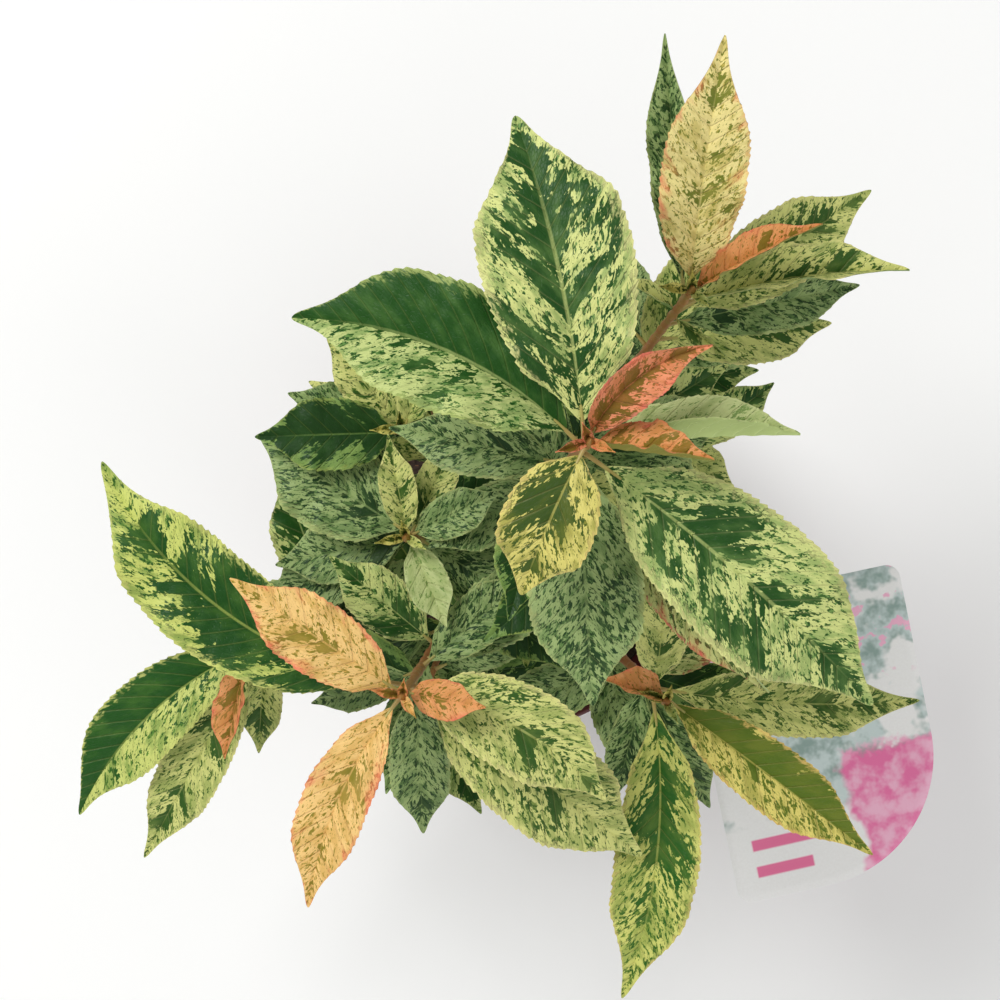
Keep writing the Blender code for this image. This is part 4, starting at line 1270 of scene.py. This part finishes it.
def turned_piece(name, profile, sides, mat, node, smooth, ripple=None):
    """A closed profile of (radius, height) pairs turned about +Z; zero radius gives a pole."""
    radius, height = np.array(profile).T[..., None]
    turn = turns(sides)
    points = np.stack([
        radius * np.cos(turn), radius * np.sin(turn), np.repeat(height, sides, 1),
    ], -1)
    if ripple:
        points[..., 2] += ripple(*np.moveaxis(points, -1, 0))
    heap = Heap()
    heap.add(points, ring_faces(len(profile), sides))
    obj = heap.piece(name, [mat], node, smooth)
    shape = bmesh.new()
    shape.from_mesh(obj.data)
    bmesh.ops.remove_doubles(shape, verts=shape.verts, dist=0.00001)
    bmesh.ops.dissolve_degenerate(shape, edges=shape.edges, dist=0.000001)
    bmesh.ops.recalc_face_normals(shape, faces=shape.faces)
    shape.to_mesh(obj.data)
    shape.free()
    return obj


def drill_floor(pot):
    """Cut the drainage holes through the pot's floor."""
    cutters = bpy.data.collections.new("drills")
    for angle in (turns(HOLE_COUNT) + math.pi / HOLE_COUNT).tolist():
        bpy.ops.mesh.primitive_cylinder_add(
            vertices=32, radius=HOLE_RADIUS, depth=4 * POT_FLOOR,
            location=(HOLE_CIRCLE * math.cos(angle), HOLE_CIRCLE * math.sin(angle), 0),
        )
        drill = bpy.context.object
        for holder in list(drill.users_collection):
            holder.objects.unlink(drill)
        cutters.objects.link(drill)
    modifier = pot.modifiers.new("Drill", "BOOLEAN")
    modifier.operation = "DIFFERENCE"
    modifier.operand_type = "COLLECTION"
    modifier.collection = cutters
    graph = bpy.context.evaluated_depsgraph_get()
    mesh = bpy.data.meshes.new_from_object(pot.evaluated_get(graph))
    pot.modifiers.clear()
    pot.data = mesh
    for drill in list(cutters.objects):
        bpy.data.objects.remove(drill)
    bpy.data.collections.remove(cutters)


def build_pot(mat):
    """The shell: a tapered wall with moulding lines and a step, a rim with a bead, and a floor."""
    over_step = STEP_HEIGHT + STEP_RAMP
    rim_low = POT_HEIGHT - RIM_DEPTH
    rim_face = POT_RIM_RADIUS - 0.5 * MM
    wall = [(pot_wall(z), z) for z in np.linspace(BEAD, STEP_HEIGHT, 24)]
    for i in MOULDING_ROWS:
        wall[i] = (wall[i][0] + MOULDING_RISE, wall[i][1])
    bead = [
        (POT_RIM_RADIUS - BEAD + BEAD * math.cos(angle), POT_HEIGHT - BEAD + BEAD * math.sin(angle))
        for angle in np.radians(np.linspace(-80, 170, 14))
    ]
    inner_heights = (POT_HEIGHT - 4 * MM, over_step, STEP_HEIGHT, 60 * MM, POT_FLOOR + 1.5 * MM)
    profile = [
        (0, 0), (POT_FOOT_RADIUS - 12 * MM, 0), (POT_FOOT_RADIUS - BEAD, 0),
        (POT_FOOT_RADIUS - 0.5 * MM, 0.5 * MM), *wall, (pot_wall(over_step), over_step),
        (pot_wall(rim_low), rim_low - 0.3 * MM), (pot_wall(rim_low) + 0.2 * MM, rim_low),
        (POT_RIM_RADIUS - BEAD, rim_low + 0.2 * MM), (POT_RIM_RADIUS - 0.9 * MM, rim_low + 0.9 * MM),
        (rim_face, rim_low + 3 * MM), (rim_face, POT_HEIGHT - 4.2 * MM), *bead,
        *[(pot_wall(z) - POT_WALL, z) for z in inner_heights],
        (pot_wall(POT_FLOOR) - POT_WALL - 1.5 * MM, POT_FLOOR), (0, POT_FLOOR),
    ]
    drill_floor(turned_piece("pot_shell", profile, POT_SIDES, mat, "pot", 35))


def smooth_noise(x, y, seed):
    """Soft bumps of four sizes over a plane, from sines in random directions."""
    chance = np.random.default_rng(seed)
    total = np.zeros(np.broadcast(x, y).shape)
    for wave, size in ((24, 1.0), (11, 0.6), (5.5, 0.4), (3.1, 0.3)):
        for _ in range(4):
            angle, phase = chance.uniform(0, 2 * math.pi, 2)
            reach = 2 * math.pi / (wave * MM)
            total = total + size * np.sin(reach * (x * math.cos(angle) + y * math.sin(angle)) + phase) / 4
    return total


def bed_ripple(x, y, z):
    """How far the compost's top rises above its plain dome: soft bumps, calm at stem and wall."""
    radius = np.hypot(x, y)
    at_centre = np.clip((radius - CALM_CENTRE) / CALM_CENTRE_SPAN, 0, 1)
    at_wall = np.clip((CALM_WALL - radius) / CALM_WALL_SPAN, 0, 1)
    on_top = z > SOIL_TOP - BED_TOP_DEPTH
    return on_top * at_centre * at_wall * (smooth_noise(x, y, BED_SEED) * BED_BUMPS - BED_SINK)


def build_bed(mat):
    """The compost as a plug inside the pot, whose top is a low dome with bumps."""
    inner = POT_WALL + GAP
    edge = SOIL_TOP - SOIL_EDGE_DROP
    over_step = STEP_HEIGHT + STEP_RAMP + 0.4 * MM
    top = [
        ((pot_wall(edge) - inner) * share, edge + SOIL_EDGE_DROP * (1 - share ** 2))
        for share in np.linspace(1, 0.02, BED_RINGS)
    ]
    profile = [
        (0, POT_FLOOR + GAP), (pot_wall(POT_FLOOR) - inner - 1.8 * MM, POT_FLOOR + GAP),
        (pot_wall(POT_FLOOR) - inner, POT_FLOOR + 2.1 * MM), (pot_wall(STEP_HEIGHT) - inner, STEP_HEIGHT),
        (pot_wall(over_step) - inner, over_step), *top, (0, SOIL_TOP),
    ]
    turned_piece("compost_bed", profile, BED_SIDES, mat, "compost", 80, bed_ripple)


def build_crumbs():
    """Crumbs scattered evenly over the compost's dome, each of its own size, stretch and turn."""
    chance = np.random.default_rng(CRUMB_SEED)
    count = CRUMB_COUNT
    radius = CRUMB_SPREAD * np.sqrt(chance.uniform(0.012, 1, count))
    turn = chance.uniform(0, 2 * math.pi, count)
    size = chance.uniform(0.7, 2.1, count) ** 1.3 * MM
    long = size * chance.uniform(0.8, 1.7, count)
    stretch = np.stack([long, size * 0.8, size * chance.uniform(0.35, 0.7, count)], -1)
    rise = SOIL_TOP - SOIL_EDGE_DROP * (radius / DOME_RADIUS) ** 2 + size * 0.1
    corners = np.array(CRUMB_CORNERS) * chance.uniform(0.75, 1.25, (count, 6, 1)) * stretch[:, None]
    spin = chance.uniform(0, 2 * math.pi, count)[:, None]
    along, across, up = np.moveaxis(corners, -1, 0)
    points = np.stack([
        along * np.cos(spin) - across * np.sin(spin) + (radius * np.cos(turn))[:, None],
        along * np.sin(spin) + across * np.cos(spin) + (radius * np.sin(turn))[:, None],
        up + rise[:, None],
    ], -1)
    tris = np.array(CRUMB_FACES)
    quads = np.concatenate([tris, tris[:, :1]], 1) + np.arange(count)[:, None, None] * len(CRUMB_CORNERS)
    kinds = chance.choice(len(CRUMB_KINDS), count, p=[share for _, share, _, _ in CRUMB_KINDS])
    heap = Heap()
    heap.add(points, quads.reshape(-1, 4), np.repeat(kinds, len(tris)))
    finishes = [crumb_material(name, dark, light) for name, _, dark, light in CRUMB_KINDS]
    heap.piece("compost_crumbs", finishes, "compost", 25)


def card_height(x, y):
    """The height of the card's sloping middle plane above a point."""
    way = heading_vector(LABEL_SLOPE_HEADING)
    run = (x - LABEL_CORNER[0]) * way[0] + (y - LABEL_CORNER[1]) * way[1]
    return LABEL_CORNER[2] - run * math.tan(math.radians(LABEL_SLOPE))


def card_outline():
    """The card's edge, right and down from its corner: four arcs, one of them large."""
    corners = (
        (LABEL_SMALL_ROUND, 0, 0, 180, 14), (LABEL_SMALL_ROUND, LABEL_WIDTH, 0, 270, 14),
        (LABEL_LARGE_ROUND, LABEL_WIDTH, LABEL_HEIGHT, 0, 40), (LABEL_SMALL_ROUND, 0, LABEL_HEIGHT, 90, 14),
    )
    edge = []
    for radius, x, y, start, count in corners:
        middle_x = min(max(x, radius), LABEL_WIDTH - radius)
        middle_y = min(max(y, radius), LABEL_HEIGHT - radius)
        for angle in np.radians(np.linspace(start, start + 90, count)):
            edge.append((middle_x + radius * math.cos(angle), middle_y + radius * math.sin(angle)))
    return np.array(edge[::-1])


def build_card(mat):
    """Rings of the outline shrunk towards its middle, underneath and on top, with a curl.

    The curl lifts a point by the square of its distance from the middle across and down.
    """
    right = heading_vector(LABEL_TURN)
    down = heading_vector(LABEL_TURN - 90)
    middle = np.array((LABEL_WIDTH / 2, LABEL_HEIGHT / 2))
    inwards = (1.0, 0.996, 0.94, 0.75, 0.5, 0.25, 0.02)
    shares = np.array((*inwards[::-1], *inwards))
    lifts = np.array((-1,) * 6 + (-0.5, 0.5) + (1,) * 6) * LABEL_THICKNESS / 2
    flat = middle + (card_outline() - middle) * shares[:, None, None]
    u, v = flat[..., 0], flat[..., 1]
    x = LABEL_CORNER[0] + right[0] * u + down[0] * v
    y = LABEL_CORNER[1] + right[1] * u + down[1] * v
    curl = CARD_CURL * ((u / LABEL_WIDTH - 0.5) ** 2 + (v / LABEL_HEIGHT - 0.5) ** 2 - 0.35)
    rings = np.stack([x, y, card_height(x, y) + curl + lifts[:, None]], -1)
    face = np.broadcast_to(np.sign(lifts)[:, None], u.shape)
    fields = np.stack([u / LABEL_WIDTH, v / LABEL_WIDTH, face], -1)
    count, sides = u.shape
    points, fields = (
        np.vstack([grid.reshape(-1, 3), grid[0].mean(0), grid[-1].mean(0)]) for grid in (rings, fields)
    )
    heap = Heap()
    heap.add(points, np.concatenate([ring_faces(count, sides), end_fans(count, sides)]), 0, {"card": fields})
    heap.piece("label_card", [mat], "label", 40)


def build_strap(mat):
    """A flat strap up the inside of the pot and round an arc to lie under the card."""
    out = heading_vector(STRAP_HEADING)
    rise = np.array((0, 0, 1))
    foot = out * STRAP_FOOT_RADIUS
    bend_start = foot + rise * (LABEL_CORNER[2] + STRAP_CREST - STRAP_BEND)
    s = np.radians(np.linspace(0, 90, 16))[:, None]
    curve = bend_start + STRAP_BEND * (out * (1 - np.cos(s)) + rise * np.sin(s))
    end = curve[-1] + out * STRAP_LAP
    end[2] = card_height(end[0], end[1]) + 0.1 * MM
    path = np.vstack([foot + rise * (SOIL_TOP - STRAP_BURIED), curve, end])
    side = np.cross(rise, out)
    tangents = np.gradient(path, axis=0)
    tangents /= np.linalg.norm(tangents, axis=1)[:, None]
    lift = np.cross(tangents, side) * LABEL_THICKNESS / 2
    width = side * STRAP_WIDTH / 2
    rings = np.stack([path + width - lift, path + width + lift, path - width + lift, path - width - lift], 1)
    last = (len(path) - 1) * 4
    ends = [[3, 2, 1, 0], [last, last + 1, last + 2, last + 3]]
    heap = Heap()
    heap.add(rings, np.concatenate([ring_faces(len(path), 4), ends]))
    heap.piece("label_strap", [mat], "label", 40)


def build_stage():
    """A white floor, even light from all round, and three square lamps."""
    scene = bpy.context.scene
    mesh = bpy.data.meshes.new("floor")
    corners = [(x * FLOOR_REACH, y * FLOOR_REACH, 0) for x, y in ((-1, -1), (1, -1), (1, 1), (-1, 1))]
    mesh.from_pydata(corners, [], [(0, 1, 2, 3)])
    mesh.materials.append(floor_material())
    floor = bpy.data.objects.new("floor", mesh)
    scene.collection.objects.link(floor)

    scene.world = bpy.data.worlds.new("studio")
    scene.world.use_nodes = True
    sky = scene.world.node_tree.nodes["Background"]
    sky.inputs["Color"].default_value = (1.0, 1.0, 1.0, 1.0)
    sky.inputs["Strength"].default_value = SKY_STRENGTH
    for name, place, size, power in LAMPS:
        data = bpy.data.lights.new(name, "AREA")
        data.shape = "SQUARE"
        data.size = size
        data.energy = power
        lamp = bpy.data.objects.new(name, data)
        lamp.location = place
        lamp.rotation_mode = "QUATERNION"
        lamp.rotation_quaternion = (Vector(place) - Vector(LAMP_TARGET)).to_track_quat("Z", "Y")
        scene.collection.objects.link(lamp)


def build_camera():
    """Straight down from above the plant, as the photograph looks."""
    data = bpy.data.cameras.new("camera")
    data.sensor_width = SENSOR_WIDTH
    data.lens = SENSOR_WIDTH * FOCAL_PIXELS / IMAGE_PIXELS
    data.clip_start = 0.05
    data.clip_end = 20
    camera = bpy.data.objects.new("camera", data)
    camera.matrix_world = Matrix.Translation((0, CAMERA_NORTH, CAMERA_HEIGHT))
    bpy.context.scene.collection.objects.link(camera)
    bpy.context.scene.camera = camera
    bpy.context.scene.view_settings.view_transform = "Standard"


build_camera()
build_stage()
leaves, twigs = grow_shoots()
bark = bark_material()
stalk = stalk_material()
build_trunk(bark)
for number, name in enumerate(SHOOTS):
    build_stem(number, name, leaves, twigs, bark)
for name in SHOOTS:
    build_stalks(name, leaves, stalk)
build_leaves(leaves)
build_pot(pot_material())
build_bed(compost_material())
build_crumbs()
build_card(card_material())
build_strap(strap_material())
